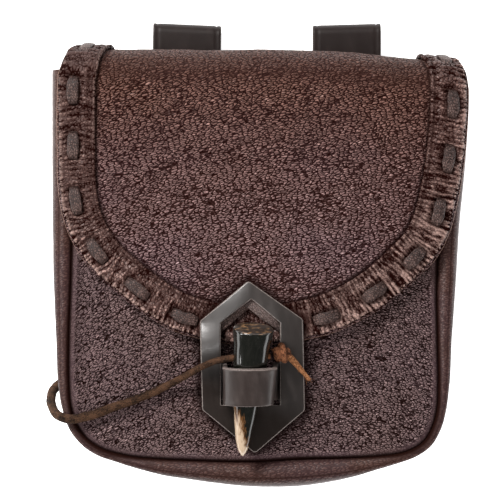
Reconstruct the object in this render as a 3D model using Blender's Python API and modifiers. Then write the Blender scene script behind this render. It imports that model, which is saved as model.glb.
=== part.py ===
"""Belt pouch of soft brown leather, lying on its back with the flap closed.

Lengths are millimetres up to the point where a mesh is made. X runs to the right
of the pouch as seen from its front, Y towards the belt loops and Z out of the
front. The floor is z = 0, and the origin is on it under the middle of the pouch.
"""
import math

import bmesh
import bpy
import numpy as np
from mathutils import Matrix, Vector

MM = 0.001

# Clearances
GAP = 0.3
BORDER_GAP = 0.4
SLOT_CLEARANCE = 0.6
LACE_UNDER_GAP = 0.8
LACE_OVER_GAP = 0.7
WINDOW_CLEARANCE = 0.9
BORE_CLEARANCE = 0.4

# Body
BODY_WIDTH = 188.6
BODY_HEIGHT = 197.6
DEPTH_TOP = 22.0
DEPTH_BOTTOM = 28.0
FRONT_WALL = 1.8
BACK_WALL = 1.8
GUSSET_WALL = 1.4
GUSSET_BULGE = 8.6
GUSSET_CREST = 1.7
GUSSET_BOW = 0.12
GUSSET_RISE = 2.7
MOUTH_DROP = 6.3
ALLOWANCE = 4.0
ROLL_WIDTH = 3.8
ROLL_RISE = 2.4
GROOVE = 1.5
FRONT_CROWN = 5.6
CROWN_AT_MOUTH = 0.35
CROWN_RUN = 0.45
CROWN_DIP = 0.2
CROWN_REACH = 62.0
BACK_REACH = 30.0
BACK_BEND = 14.0

# Belt loops
STRAP_WIDTH = 31.5
STRAP_WALL = 2.2
BELT_GAP = 4.6
LOOP_STAND = 13.0
LOOP_OVERLAP = 22.3
TAB_DROP = 56.3
TAB_LENGTH = 18.0

# Flap, border and laces
FLAP_WIDTH = 186.0
FLAP_SHIFT = 1.3
FLAP_DROP = 122.0
FLAP_WALL = 1.6
FLAP_DROOP = 1.5
FOLD_BULGE = 12.0
FOLD_DROP = 6.6
FOLD_DROP_START = 14.0
FLAP_TAIL = 24.0
BORDER_WIDTH = 16.6
BORDER_INSET = 0.8
BORDER_WALL = 1.4
LACE_WIDTH = 5.4
LACE_THICK = 1.2
LACE_INSET = 7.2
LACE_PITCH = 25.0
LACE_START = 24.0
STITCH_LENGTH = 12.8
STITCH_ARCH = 0.4
STITCHES = 7

# Clasp
PLATE_WIDTH = 47.2
PLATE_LENGTH = 78.0
PLATE_CENTRE_X = -3.5
PLATE_OVER_FLAP = 29.0
PLATE_WALL = 2.2
PLATE_CORNER = 2.0
PLATE_LOWER_REST = 3.2
PLATE_POINT_REST = 1.6
PLATE_STEP_OFF = 1.0
WINDOW_TOP = 0.108
WINDOW_SHOULDER = 0.242
WINDOW_APEX_SHIFT = 0.4
WINDOW_CORNER = 0.5
KEEPER_WIDTH = 24.6
KEEPER_LOWER_WIDTH = 22.8
KEEPER_BREADTH = 17.0
KEEPER_SHIFT = -0.9
KEEPER_DROP = 45.3
KEEPER_LEAN = 2.6
KEEPER_WALL = 2.2
KEEPER_FOOT = 6.0
KEEPER_ARCH = 0.62
KEEPER_OVER_GAP = 0.7
HORN_LENGTH = 60.0
HORN_RADIUS = 8.8
HORN_TILT = 17.5
HORN_SHIFT = 1.3
HORN_RISE = 24.0
CORD_DIAMETER = 3.6
KNOT_RADIUS = 4.9
TAIL_RADIUS = 1.5

# How finely the surfaces are divided
PANEL_ROWS = 13
PANEL_COLS = 14
PANEL_BEND_WEIGHT = 22.0
ROLL_TURNS = (30.0, 60.0, 90.0)
GUSSET_TURNS = (180.0, 135.0, 90.0, 45.0, 0.0)
FLAP_SIDE_STEPS = 12
FLAP_END_STEPS = 20
FOLD_TURNS = 8
BORDER_STEPS = 46
BORDER_BEND_WEIGHT = 12.0
BORDER_SHARES = (0.0, 0.42, 1.0)
KEEPER_ARCH_STEPS = 10
LOOP_TURNS = 6
BORE_SIDES = 12
CORD_STEP = 2.2
SHARP_ANGLE = math.radians(40)

# Worked out from the sizes above
TOP_Y = (BODY_HEIGHT + LOOP_STAND) / 2 - LOOP_STAND
FOLD_Y = TOP_Y - FOLD_BULGE
SEAM_HALF = BODY_WIDTH / 2 - GUSSET_BULGE
FRONT_STRAP_Z = STRAP_WALL + BELT_GAP
TAIL_Z = FRONT_STRAP_Z + STRAP_WALL + GAP
TAIL_INNER_Z = TAIL_Z + FLAP_WALL
BACK_TOP_Z = TAIL_INNER_Z + GAP
BACK_SEAM_Z = BACK_TOP_Z + ROLL_RISE
TAB_Z = STRAP_WALL + GAP
TAIL_END_Y = FOLD_Y - FLAP_TAIL
FLAP_END_Y = FOLD_Y - FLAP_DROP
MOUTH_Y = FOLD_Y - MOUTH_DROP
GUSSET_TOP = FOLD_Y + GUSSET_RISE
LOOP_TOP_Y = TOP_Y + LOOP_STAND
LOOP_FRONT_Y = FOLD_Y - LOOP_OVERLAP
TAB_TOP_Y = FOLD_Y - TAB_DROP
TAB_END_Y = TAB_TOP_Y - TAB_LENGTH
FLAP_REST = LACE_THICK + LACE_UNDER_GAP + GAP
BORDER_LIFT = FLAP_WALL + BORDER_GAP
BORDER_TOP = BORDER_LIFT + BORDER_WALL
PLATE_LIFT = BORDER_TOP + 2 * LACE_THICK + 3 * GAP
PLATE_TOP_Y = FLAP_END_Y + PLATE_OVER_FLAP
KEEPER_X = PLATE_CENTRE_X + KEEPER_SHIFT
KEEPER_Y = PLATE_TOP_Y - KEEPER_DROP
KEEPER_END_Y = KEEPER_Y - KEEPER_BREADTH / 2
WINDOW_HALF = KEEPER_WIDTH / 2 + WINDOW_CLEARANCE
WINDOW_APEX_Y = PLATE_TOP_Y - WINDOW_TOP * PLATE_LENGTH
WINDOW_SHOULDER_Y = PLATE_TOP_Y - WINDOW_SHOULDER * PLATE_LENGTH
WINDOW_FOOT_Y = KEEPER_END_Y - KEEPER_LEAN / 2 - WINDOW_CLEARANCE
HORN_TOP_X = KEEPER_X + HORN_SHIFT
HORN_TOP_Y = KEEPER_Y + HORN_RISE
CORD_RADIUS = CORD_DIAMETER / 2

# The seam round the front, from the mouth's left end over the bottom to its right
# end: across is a share of SEAM_HALF, down of BODY_HEIGHT, bulge of GUSSET_BULGE.
SEAM_ROWS = [
    # across, down, bulge
    (-0.998, 0.048, 0.98),
    (-0.996, 0.296, 0.98),
    (-0.991, 0.548, 0.93),
    (-0.998, 0.686, 0.70),
    (-1.002, 0.773, 0.56),
    (-0.980, 0.828, 0.53),
    (-0.909, 0.873, 0.53),
    (-0.803, 0.906, 0.53),
    (-0.651, 0.927, 0.56),
    (-0.361, 0.943, 0.90),
    (-0.050, 0.948, 1.24),
    (0.203, 0.942, 1.36),
    (0.456, 0.936, 1.10),
    (0.635, 0.928, 0.75),
    (0.761, 0.914, 0.55),
    (0.856, 0.889, 0.53),
    (0.911, 0.846, 0.53),
    (0.935, 0.796, 0.56),
    (0.938, 0.686, 0.70),
    (0.934, 0.548, 0.92),
    (0.951, 0.388, 1.00),
    (0.983, 0.250, 1.00),
    (0.998, 0.112, 1.00),
    (0.996, 0.050, 0.98),
]

# The flap's edge below the fold line, left to right: across is a share of half
# FLAP_WIDTH, down of FLAP_DROP.
FLAP_ROWS = [
    # across, down
    (-0.996, 0.000),
    (-1.000, 0.085),
    (-1.000, 0.271),
    (-0.995, 0.419),
    (-0.978, 0.508),
    (-0.932, 0.609),
    (-0.849, 0.709),
    (-0.717, 0.803),
    (-0.571, 0.887),
    (-0.450, 0.941),
    (-0.279, 0.980),
    (-0.040, 1.000),
    (0.203, 0.978),
    (0.330, 0.950),
    (0.437, 0.911),
    (0.583, 0.839),
    (0.749, 0.720),
    (0.846, 0.633),
    (0.900, 0.549),
    (0.943, 0.429),
    (0.973, 0.299),
    (0.992, 0.161),
    (1.000, 0.032),
    (1.000, 0.000),
]

# The flap's sides over the fold, as shares of half FLAP_WIDTH.
FOLD_ROWS = [
    # turn (0 at the front, 1 at the tail), left, right
    (0.00, -0.996, 1.000),
    (0.25, -0.968, 0.988),
    (0.50, -0.926, 0.950),
    (1.00, -0.905, 0.925),
]

# Soft hollows in the front panel: shares of SEAM_HALF and BODY_HEIGHT.
DENT_ROWS = [
    # across, down, size (share of SEAM_HALF), depth (share of FRONT_CROWN)
    (-0.70, 0.66, 0.22, 0.22),
    (-0.45, 0.80, 0.20, 0.12),
    (0.62, 0.70, 0.22, 0.20),
    (0.42, 0.85, 0.18, 0.12),
]

# The clasp plate's corners: shares of half PLATE_WIDTH and of PLATE_LENGTH.
PLATE_ROWS = [
    # across, down
    (-0.08, 0.000),
    (-1.00, 0.233),
    (-0.96, 0.746),
    (0.05, 1.000),
    (1.00, 0.750),
    (0.96, 0.222),
]

# The short thongs under the plate: shares of WINDOW_HALF sideways from the window's
# middle, and of the peak's height down from its apex.
TIE_ROWS = [
    # side, start across and up, end across and up
    ("left", -1.22, 1.30, 0.16, -0.16),
    ("right", 1.24, 1.32, -0.20, -0.02),
]

# The belt loops, in millimetres.
LOOP_ROWS = [
    # name, centre x, sideways lean of the top, rise of the right end of the fold
    ("belt_loop_left", -34.2, 0.6, -1.4),
    ("belt_loop_right", 40.1, 0.0, 0.9),
]

# The horn from its cut end to its tip: along is a share of HORN_LENGTH, radius of
# HORN_RADIUS, and shift, sideways in plan, of HORN_LENGTH.
HORN_ROWS = [
    # along, radius, shift
    (0.000, 1.000, 0.000),
    (0.060, 0.970, -0.004),
    (0.130, 0.905, -0.010),
    (0.280, 0.840, -0.024),
    (0.450, 0.740, -0.040),
    (0.630, 0.610, -0.056),
    (0.790, 0.460, -0.071),
    (0.905, 0.330, -0.078),
    (0.965, 0.205, -0.080),
    (1.000, 0.060, -0.081),
]

# The cord's route, chosen by hand, from the back seam to the knot.
CORD_ROUTE = [
    (-83.6, -58.6, 8.6),
    (-87.6, -59.2, 8.0),
    (-91.4, -60.3, 9.4),
    (-94.4, -62.6, 14.0),
    (-95.6, -66.4, 22.5),
    (-94.4, -70.6, 32.5),
    (-91.0, -74.0, 41.5),
    (-85.6, -75.3, 46.4),
    (-77.4, -73.8, 47.6),
    (-66.6, -70.0, 48.0),
    (-52.2, -64.8, 49.2),
    (-39.6, -58.8, 50.6),
    (-32.4, -54.8, 54.6),
    (-26.6, -51.4, 58.7),
    (-20.7, -48.8, 61.6),
    (-15.6, -47.6, 64.1),
    (-11.6, -47.0, 65.2),
    (-4.0, -46.8, 65.5),
    (2.4, -46.5, 65.1),
    (4.3, -46.2, 64.8),
]

# The knot and its tail along the cord's end: places, and radius as a share of
# KNOT_RADIUS for the knot and of TAIL_RADIUS for the tail.
KNOT_ROUTE = [
    (4.7, -46.1, 64.7),
    (5.9, -45.8, 64.4),
    (7.8, -45.3, 63.8),
    (10.2, -45.0, 63.3),
    (12.5, -45.4, 62.7),
    (14.2, -46.6, 61.6),
    (15.6, -48.4, 60.4),
    (18.0, -51.6, 58.6),
    (20.4, -54.8, 57.6),
    (22.4, -57.4, 56.7),
]
KNOT_SHARES = [0.50, 0.84, 1.00, 1.00, 0.80, 0.50]
TAIL_SHARES = [1.00, 0.95, 0.80, 0.45]

LEATHER = (0.105, 0.052, 0.040)
BORDER_LEATHER = (0.085, 0.042, 0.030)
LACE_LEATHER = (0.080, 0.060, 0.055)
BLACK_LEATHER = (0.030, 0.024, 0.022)
HORN = (0.020, 0.020, 0.018)
SUEDE = (0.180, 0.095, 0.050)


def clear_scene():
    """Remove every object, so that the script can be run again."""
    for old in list(bpy.data.objects):
        bpy.data.objects.remove(old, do_unlink=True)


def make_collection(name):
    """A new collection in the scene."""
    made = bpy.data.collections.new(name)
    bpy.context.scene.collection.children.link(made)
    return made


def make_material(name, colour, roughness):
    """A plain material with one colour and roughness."""
    made = bpy.data.materials.new(name)
    made.use_nodes = True
    shader = made.node_tree.nodes["Principled BSDF"]
    shader.inputs["Base Color"].default_value = (*colour, 1.0)
    shader.inputs["Roughness"].default_value = roughness
    shader.inputs["Metallic"].default_value = 0.0
    return made


def smooth_curve(rows, samples=420):
    """Dense curve through rows: a cubic from each to the next, knots by plan length."""
    rows = np.asarray(rows, float)
    steps = np.linalg.norm(np.diff(rows[:, :3], axis=0), axis=1)
    knots = np.concatenate([[0.0], np.cumsum(steps)])
    slopes = np.gradient(rows, knots, axis=0)
    at = np.linspace(0.0, knots[-1], samples)
    index = np.clip(np.searchsorted(knots, at, side="right") - 1, 0, len(knots) - 2)
    width = (knots[index + 1] - knots[index])[:, None]
    t = (at - knots[index])[:, None] / width
    start = (2 * t**3 - 3 * t**2 + 1) * rows[index]
    leave = (t**3 - 2 * t**2 + t) * width * slopes[index]
    end = (3 * t**2 - 2 * t**3) * rows[index + 1]
    arrive = (t**3 - t**2) * width * slopes[index + 1]
    return start + leave + end + arrive


def resample(curve, count, bend_weight=0.0):
    """count + 1 points, even by plan length plus bend_weight for each radian of turn."""
    step = np.diff(curve[:, :2], axis=0)
    length = np.hypot(step[:, 0], step[:, 1])
    heading = np.unwrap(np.arctan2(step[:, 1], step[:, 0]))
    turn = np.abs(np.diff(heading, prepend=heading[0]))
    run = np.concatenate([[0.0], np.cumsum(length + bend_weight * turn)])
    at = np.linspace(0.0, run[-1], count + 1)
    return np.column_stack([np.interp(at, run, column) for column in curve.T])


def outward(curve):
    """Unit normals to the right of a plan curve's direction, which is its outside."""
    along = np.gradient(curve[:, :2], axis=0)
    along /= np.linalg.norm(along, axis=1)[:, None]
    return np.column_stack([along[:, 1], -along[:, 0]])


def ease(t):
    """Smooth step from 0 to 1."""
    t = np.clip(t, 0.0, 1.0)
    return t * t * (3 - 2 * t)


def coons(left, right, top, bottom):
    """Grid of plan points between four edges: sides run downwards, the others right."""
    rows = np.linspace(0.0, 1.0, len(left))[:, None, None]
    cols = np.linspace(0.0, 1.0, len(top))[None, :, None]
    sides = (1 - cols) * left[:, None] + cols * right[:, None]
    ends = (1 - rows) * top[None] + rows * bottom[None]
    upper = (1 - cols) * top[0] + cols * top[-1]
    lower = (1 - cols) * bottom[0] + cols * bottom[-1]
    return sides + ends - (1 - rows) * upper - rows * lower


SEAM_CURVE = smooth_curve([
    (across * SEAM_HALF, TOP_Y - down * BODY_HEIGHT, bulge * GUSSET_BULGE)
    for across, down, bulge in SEAM_ROWS])
SEAM_PLAN = np.vstack([
    SEAM_CURVE[:1, :2] + (0.0, BODY_HEIGHT / 4),
    SEAM_CURVE[::3, :2],
    SEAM_CURVE[-1:, :2],
    SEAM_CURVE[-1:, :2] + (0.0, BODY_HEIGHT / 4)])


def seam_distance(x, y):
    """Distance from the seam in plan, positive inside it."""
    points = np.column_stack([np.ravel(x), np.ravel(y)])
    starts = SEAM_PLAN[:-1]
    spans = np.diff(SEAM_PLAN, axis=0)
    offset = points[:, None] - starts[None]
    share = (offset * spans).sum(-1) / (spans * spans).sum(-1)
    away = offset - np.clip(share, 0, 1)[..., None] * spans
    distance = np.linalg.norm(away, axis=-1)
    near = distance.argmin(axis=1)
    pick = np.arange(len(points))
    side = spans[near, 0] * offset[pick, near, 1] - spans[near, 1] * offset[pick, near, 0]
    return (distance[pick, near] * np.sign(side)).reshape(np.shape(x))


def seam_height(y):
    """Height of the front seam, which rises from the mouth to the bottom."""
    down = np.clip((TOP_Y - y) / BODY_HEIGHT, 0, 1)
    return BACK_SEAM_Z + DEPTH_TOP + (DEPTH_BOTTOM - DEPTH_TOP) * down


def crown(y, inside):
    """Rise of the front's full form above its rolled edge."""
    down = (TOP_Y - y) / BODY_HEIGHT
    taper = CROWN_AT_MOUTH + (1 - CROWN_AT_MOUTH) * ease(down / CROWN_RUN)
    share = np.clip(inside / CROWN_REACH, -CROWN_DIP, 1)
    return FRONT_CROWN * taper * np.sin(math.pi / 2 * share)


def front_form(x, y):
    """Outer height of the front without its roll and hollows."""
    return seam_height(y) + ROLL_RISE + crown(y, seam_distance(x, y))


def front_surface(x, y):
    """Outer height of the front panel with its soft hollows."""
    height = front_form(x, y)
    for across, down, size, depth in DENT_ROWS:
        reach = size * SEAM_HALF
        far = ((x - across * SEAM_HALF)**2 + (y - TOP_Y + down * BODY_HEIGHT)**2) / reach**2
        height = height - depth * FRONT_CROWN * np.exp(-far)
    return height


def back_surface(x, y):
    """Outer height of the back: flat on the floor, up over the straps' tabs to the top."""
    tab_end = TAB_END_Y - BACK_BEND
    lowest_tail = TAIL_END_Y - FOLD_DROP - BACK_BEND
    stations = [tab_end - BACK_BEND, tab_end, TAB_TOP_Y, lowest_tail]
    heights = [0.0, TAB_Z, TAB_Z, BACK_TOP_Z]
    sag = BACK_SEAM_Z - np.interp(y, stations, heights)
    share = np.sin(math.pi / 2 * np.clip(seam_distance(x, y) / BACK_REACH, 0, 1))
    height = BACK_SEAM_Z - ROLL_RISE - (sag - ROLL_RISE) * share
    return np.round(np.maximum(height, 0.0), 6)


def fold_line(x):
    """Y of the line where the flap starts to turn over, lower towards the right."""
    reach = FLAP_WIDTH / 2 - FOLD_DROP_START
    return FOLD_Y - FOLD_DROP * np.clip((x - FOLD_DROP_START) / reach, 0, 1)**1.5


def flap_under(x, y):
    """Height of the flap's underside on the front."""
    inside = seam_distance(x, y)
    droop = FLAP_DROOP * (np.minimum(inside, 0.0) / GUSSET_BULGE)**2
    return front_form(x, y) + FLAP_REST - droop


def fold_shape(x):
    """Middle height and half height of the fold's inner curve at x."""
    top = flap_under(x, fold_line(x))
    return (top + TAIL_INNER_Z) / 2, (top - TAIL_INNER_Z) / 2


FOLD_HALF_RISE = float(fold_shape(np.array([0.0]))[1][0])
FOLD_LENGTH = math.pi * (FOLD_BULGE - FLAP_WALL + FOLD_HALF_RISE) / 2


def on_flap(x, s, lift):
    """Point on the flap's sheet, lift above its underside.

    s is the length up the sheet from the fold line: negative down the front,
    and above 0 over the fold and then down the tail.
    """
    x, s, lift = np.broadcast_arrays(x, s, lift)
    line = fold_line(x)
    front_y = line + np.minimum(s, 0.0)
    front_z = flap_under(x, front_y) + lift
    middle, half = fold_shape(x)
    turn = np.clip(s / FOLD_LENGTH, 0, 1) * math.pi
    past = np.maximum(s - FOLD_LENGTH, 0.0)
    reach = FOLD_BULGE - FLAP_WALL
    fold_y = line + (reach + lift) * np.sin(turn) - past
    fold_z = middle + (half + lift) * np.cos(turn)
    over = s > 0
    return np.stack([x, np.where(over, fold_y, front_y), np.where(over, fold_z, front_z)], -1)


def flap_edge():
    """The flap's whole edge in sheet coordinates, tail to tail."""
    half = FLAP_WIDTH / 2
    front = [(FLAP_SHIFT + across * half, -down * FLAP_DROP) for across, down in FLAP_ROWS]
    left = [(FLAP_SHIFT + row[1] * half, row[0] * FOLD_LENGTH) for row in FOLD_ROWS[:0:-1]]
    right = [(FLAP_SHIFT + row[2] * half, row[0] * FOLD_LENGTH) for row in FOLD_ROWS[1:]]
    return smooth_curve(left + front + right, 700)


def grid_faces(rows, cols, wrap=False):
    """Quads of a grid of points numbered row by row, closed round if wrap."""
    across = cols if wrap else cols - 1
    return [
        (r * cols + c, r * cols + (c + 1) % cols,
         (r + 1) * cols + (c + 1) % cols, (r + 1) * cols + c)
        for r in range(rows - 1) for c in range(across)]


def add_object(name, points, faces, material, collection):
    """Mesh object from points in millimetres."""
    mesh = bpy.data.meshes.new(name)
    mesh.from_pydata((np.reshape(points, (-1, 3)) * MM).tolist(), [], faces)
    mesh.materials.append(material)
    mesh.shade_smooth()
    mesh.set_sharp_from_angle(angle=SHARP_ANGLE)
    made = bpy.data.objects.new(name, mesh)
    collection.objects.link(made)
    return made


def make_wall(made, thickness, facing, face=0):
    """Give an open surface its thickness, with one of its faces outside towards facing."""
    if made.data.polygons[face].normal.dot(Vector(facing)) < 0:
        made.data.flip_normals()
    solidify = made.modifiers.new("wall", "SOLIDIFY")
    solidify.thickness = thickness * MM
    solidify.offset = -1.0
    solidify.use_even_offset = True
    solidify.use_quality_normals = True
    return made


def make_cut(made, cutter):
    """Cut one piece with a closed cutter."""
    cut = made.modifiers.new("cut", "BOOLEAN")
    cut.operation = "DIFFERENCE"
    cut.solver = "EXACT"
    cut.object = cutter


def make_cutter(name, mesh, collection):
    """A cutter object, shown as wire and left out of renders."""
    made = bpy.data.objects.new(name, mesh)
    made.hide_render = True
    made.display_type = "WIRE"
    collection.objects.link(made)
    return made


def tube(name, route, radii, sides_level, material, collection):
    """Round bar along a route, radii in millimetres, with filled caps."""
    curve = bpy.data.curves.new(name, "CURVE")
    curve.dimensions = "3D"
    curve.bevel_depth = MM
    curve.bevel_resolution = sides_level
    curve.resolution_u = 1
    curve.render_resolution_u = 0
    curve.use_fill_caps = True
    spline = curve.splines.new("POLY")
    spline.points.add(len(route) - 1)
    for point, place, radius in zip(spline.points, route, radii):
        point.co = (*(np.asarray(place) * MM), 1.0)
        point.radius = radius
    curve.materials.append(material)
    made = bpy.data.objects.new(name, curve)
    collection.objects.link(made)
    return made


def as_mesh(made, collection):
    """Replace a curve object by its mesh, with the caps welded on."""
    view = bpy.context.evaluated_depsgraph_get()
    mesh = bpy.data.meshes.new_from_object(made.evaluated_get(view))
    work = bmesh.new()
    work.from_mesh(mesh)
    bmesh.ops.remove_doubles(work, verts=work.verts, dist=1e-6)
    bmesh.ops.recalc_face_normals(work, faces=work.faces)
    work.to_mesh(mesh)
    work.free()
    mesh.shade_smooth()
    mesh.set_sharp_from_angle(angle=SHARP_ANGLE)
    name = made.name
    place = made.matrix_world.copy()
    bpy.data.objects.remove(made, do_unlink=True)
    solid = bpy.data.objects.new(name, mesh)
    solid.matrix_world = place
    collection.objects.link(solid)
    return solid


def seam_stations():
    """Seam points that the panels and the gusset share, with their outward normals."""
    edge = resample(SEAM_CURVE, 2 * PANEL_ROWS + PANEL_COLS, PANEL_BEND_WEIGHT)
    return edge, outward(edge)


def make_panel(name, wall, surface, roll, facing, material, collection):
    """Front or back panel: a sagging sheet, its edge rolled over into the seam.

    surface gives the height inside the roll. roll gives the heights of the rolled
    edge from the turn's cosine, and of the seam allowance's end where that is None.
    """
    edge, normal = seam_stations()
    inset = edge[:, :2] - ROLL_WIDTH * normal
    inset[:, 1] = np.minimum(inset[:, 1], MOUTH_Y)
    left = inset[:PANEL_ROWS + 1]
    bottom = inset[PANEL_ROWS:PANEL_ROWS + PANEL_COLS + 1]
    right = inset[PANEL_ROWS + PANEL_COLS:][::-1]
    top = np.linspace(left[0], right[0], PANEL_COLS + 1)
    plan = coons(left, right, top, bottom)
    x, y = plan[..., 0], plan[..., 1]
    points = [np.stack([x, y, surface(x, y)], -1).reshape(-1, 3)]
    cols = PANEL_COLS + 1
    last = PANEL_ROWS * cols
    ring = [r * cols for r in range(PANEL_ROWS)] + [last + c for c in range(PANEL_COLS)]
    ring += [r * cols + PANEL_COLS for r in range(PANEL_ROWS, -1, -1)]
    faces = grid_faces(PANEL_ROWS + 1, cols)
    edge_y = np.minimum(edge[:, 1], MOUTH_Y)
    count = points[0].shape[0]
    for turn in (*ROLL_TURNS, None):
        swing = 1.0 if turn is None else math.sin(math.radians(turn))
        inside = GAP / 2 + (ROLL_WIDTH - GAP / 2) * (1 - swing)
        level = edge[:, :2] - inside * normal
        level[:, 1] = np.minimum(level[:, 1], MOUTH_Y)
        height = roll(edge_y, inside, None if turn is None else math.cos(math.radians(turn)))
        points.append(np.column_stack([level, height]))
        fresh = list(range(count, count + len(edge)))
        faces += [(ring[k], ring[k + 1], fresh[k + 1], fresh[k]) for k in range(len(edge) - 1)]
        ring = fresh
        count += len(edge)
    made = add_object(name, np.vstack(points), faces, material, collection)
    return make_wall(made, wall, facing)


def front_roll(y, inside, cosine):
    """Heights of the front panel's rolled edge, or of its allowance's end."""
    floor = seam_height(y) - GROOVE
    if cosine is None:
        return floor - ALLOWANCE
    return floor + (ROLL_RISE + GROOVE) * cosine + crown(y, np.full_like(y, inside))


def back_roll(y, inside, cosine):
    """Heights of the back panel's rolled edge, or of its allowance's end."""
    if cosine is None:
        return np.full_like(y, BACK_SEAM_Z + GROOVE + ALLOWANCE)
    return np.full_like(y, BACK_SEAM_Z + GROOVE - (ROLL_RISE + GROOVE) * cosine)


def make_gusset(material, collection):
    """Strip round the sides and bottom, rolled into both seams and bulging between."""
    edge, normal = seam_stations()
    edge[[0, -1], 1] = GUSSET_TOP, GUSSET_TOP - FOLD_DROP
    bulge = edge[:, 2]
    radius = (bulge * (1 - GUSSET_BOW) - GAP / 2) / 2
    centre = GAP / 2 + radius
    front = seam_height(edge[:, 1]) + GUSSET_CREST - radius
    back = BACK_SEAM_Z - GUSSET_CREST + radius
    turns = np.radians(GUSSET_TURNS)
    out = [np.full_like(bulge, GAP / 2)]
    high = [front - ALLOWANCE]
    out += [centre + radius * math.cos(turn) for turn in turns]
    high += [front + radius * math.sin(turn) for turn in turns]
    out.append(bulge)
    high.append((front + back) / 2)
    out += [centre + radius * math.cos(turn) for turn in turns[::-1]]
    high += [back - radius * math.sin(turn) for turn in turns[::-1]]
    out.append(np.full_like(bulge, GAP / 2))
    high.append(back + ALLOWANCE)
    out, high = np.array(out).T, np.array(high).T
    plan = edge[:, None, :2] + out[..., None] * normal[:, None]
    points = np.concatenate([plan, high[..., None]], -1)
    made = add_object("gusset", points, grid_faces(*out.shape), material, collection)
    stations, spots = out.shape
    lowest = (stations // 2) * (spots - 1) + spots // 2 - 1
    return make_wall(made, GUSSET_WALL, (0, -1, 0), lowest)


def flap_sheet():
    """Sheet coordinates of the flap's grid, from the tail's end to the lower edge."""
    half = FLAP_WIDTH / 2
    front = smooth_curve([
        (FLAP_SHIFT + across * half, -down * FLAP_DROP) for across, down in FLAP_ROWS])
    edge = resample(front, 2 * FLAP_SIDE_STEPS + FLAP_END_STEPS)
    left = edge[:FLAP_SIDE_STEPS + 1]
    bottom = edge[FLAP_SIDE_STEPS:FLAP_SIDE_STEPS + FLAP_END_STEPS + 1]
    right = edge[FLAP_SIDE_STEPS + FLAP_END_STEPS:][::-1]
    top = np.linspace(left[0], right[0], FLAP_END_STEPS + 1)
    sheet = [coons(left, right, top, bottom)]
    share = np.linspace(0, 1, FLAP_END_STEPS + 1)
    turns, lefts, rights = np.array(FOLD_ROWS).T
    for step in range(1, FOLD_TURNS + 1):
        turn = step / FOLD_TURNS
        ends = np.interp(turn, turns, lefts), np.interp(turn, turns, rights)
        x = FLAP_SHIFT + half * (ends[0] + (ends[1] - ends[0]) * share)
        s = np.full_like(x, turn * FOLD_LENGTH)
        sheet.insert(0, np.stack([x, s], -1)[None])
    tail = sheet[0].copy()
    tail[..., 1] += FLAP_TAIL
    return np.concatenate([tail, *sheet])


def lace_line():
    """The line that a lace follows: dense sheet points with their length from the left."""
    edge = flap_edge()
    line = edge - LACE_INSET * outward(edge)
    run = np.concatenate([[0.0], np.cumsum(np.linalg.norm(np.diff(line, axis=0), axis=1))])
    return line, run


def stitch_centres(right):
    """Lengths along the lace line of one side's stitches, from the fold down."""
    line, run = lace_line()
    first = LACE_START + LACE_PITCH * np.arange(STITCHES)
    return run[-1] - first if right else first


def make_slots(collection):
    """Cutter with one box for each place where a lace goes through border and flap."""
    line, run = lace_line()
    half = (STITCH_LENGTH - LACE_THICK) / 2
    work = bmesh.new()
    for right in (False, True):
        for centre in stitch_centres(right):
            for place in (centre - half, centre + half):
                at = [np.interp(place + step, run, line[:, k]) for step in (-1, 0, 1) for k in (0, 1)]
                ahead = np.array(at[4:]) - np.array(at[:2])
                ahead /= np.linalg.norm(ahead)
                side = np.array([ahead[1], -ahead[0]])
                middle = on_flap(at[2], at[3], BORDER_LIFT)
                across = on_flap(at[2] + side[0], at[3] + side[1], BORDER_LIFT) - middle
                up = Vector(on_flap(at[2], at[3], BORDER_LIFT + 1.0) - middle).normalized()
                across = Vector(across).normalized()
                tangent = across.cross(up).normalized()
                across = up.cross(tangent)
                turn = Matrix((tangent, across, up)).transposed().to_4x4()
                size = Matrix.Diagonal((
                    LACE_THICK + 2 * SLOT_CLEARANCE, LACE_WIDTH + 2 * SLOT_CLEARANCE,
                    3 * BORDER_TOP, 1.0))
                matrix = Matrix.Translation(Vector(middle)) @ turn @ size
                bmesh.ops.create_cube(work, size=1.0, matrix=Matrix.Scale(MM, 4) @ matrix)
    mesh = bpy.data.meshes.new("lace_slots")
    work.to_mesh(mesh)
    work.free()
    return make_cutter("lace_slots", mesh, collection)


def make_flap(slots, material, collection):
    """One sheet from the back, over the top fold and down the front."""
    sheet = flap_sheet()
    points = on_flap(sheet[..., 0], sheet[..., 1], FLAP_WALL)
    made = add_object("flap", points, grid_faces(*points.shape[:2]), material, collection)
    make_wall(made, FLAP_WALL, (0, 0, 1), len(made.data.polygons) - 1)
    make_cut(made, slots)


def make_border(slots, material, collection):
    """Band along the flap's edge, over the fold to the tail."""
    edge = flap_edge()
    front = edge[edge[:, 1] <= 0.0]
    stations = resample(front, BORDER_STEPS, BORDER_BEND_WEIGHT)
    stations[[0, -1], 1] = 0.0
    turns = FOLD_LENGTH * np.arange(FOLD_TURNS, 0, -1) / FOLD_TURNS
    cut = len(edge) // 2
    up_left = np.interp(turns, edge[:cut, 1][::-1], edge[:cut, 0][::-1])
    up_right = np.interp(turns, edge[cut:, 1], edge[cut:, 0])
    path = np.vstack([
        np.column_stack([up_left, turns]), stations,
        np.column_stack([up_right, turns])[::-1]])
    normal = outward(path)
    over = path[:, 1] > -0.01
    normal[over] = np.column_stack([np.sign(normal[over, 0]), np.zeros(over.sum())])
    inset = BORDER_INSET + np.array(BORDER_SHARES) * BORDER_WIDTH
    sheet = path[:, None] - inset[None, :, None] * normal[:, None]
    points = on_flap(sheet[..., 0], sheet[..., 1], BORDER_TOP)
    made = add_object("flap_border", points, grid_faces(*points.shape[:2]), material, collection)
    make_wall(made, BORDER_WALL, (0, 0, 1), len(made.data.polygons) // 2)
    make_cut(made, slots)


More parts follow.
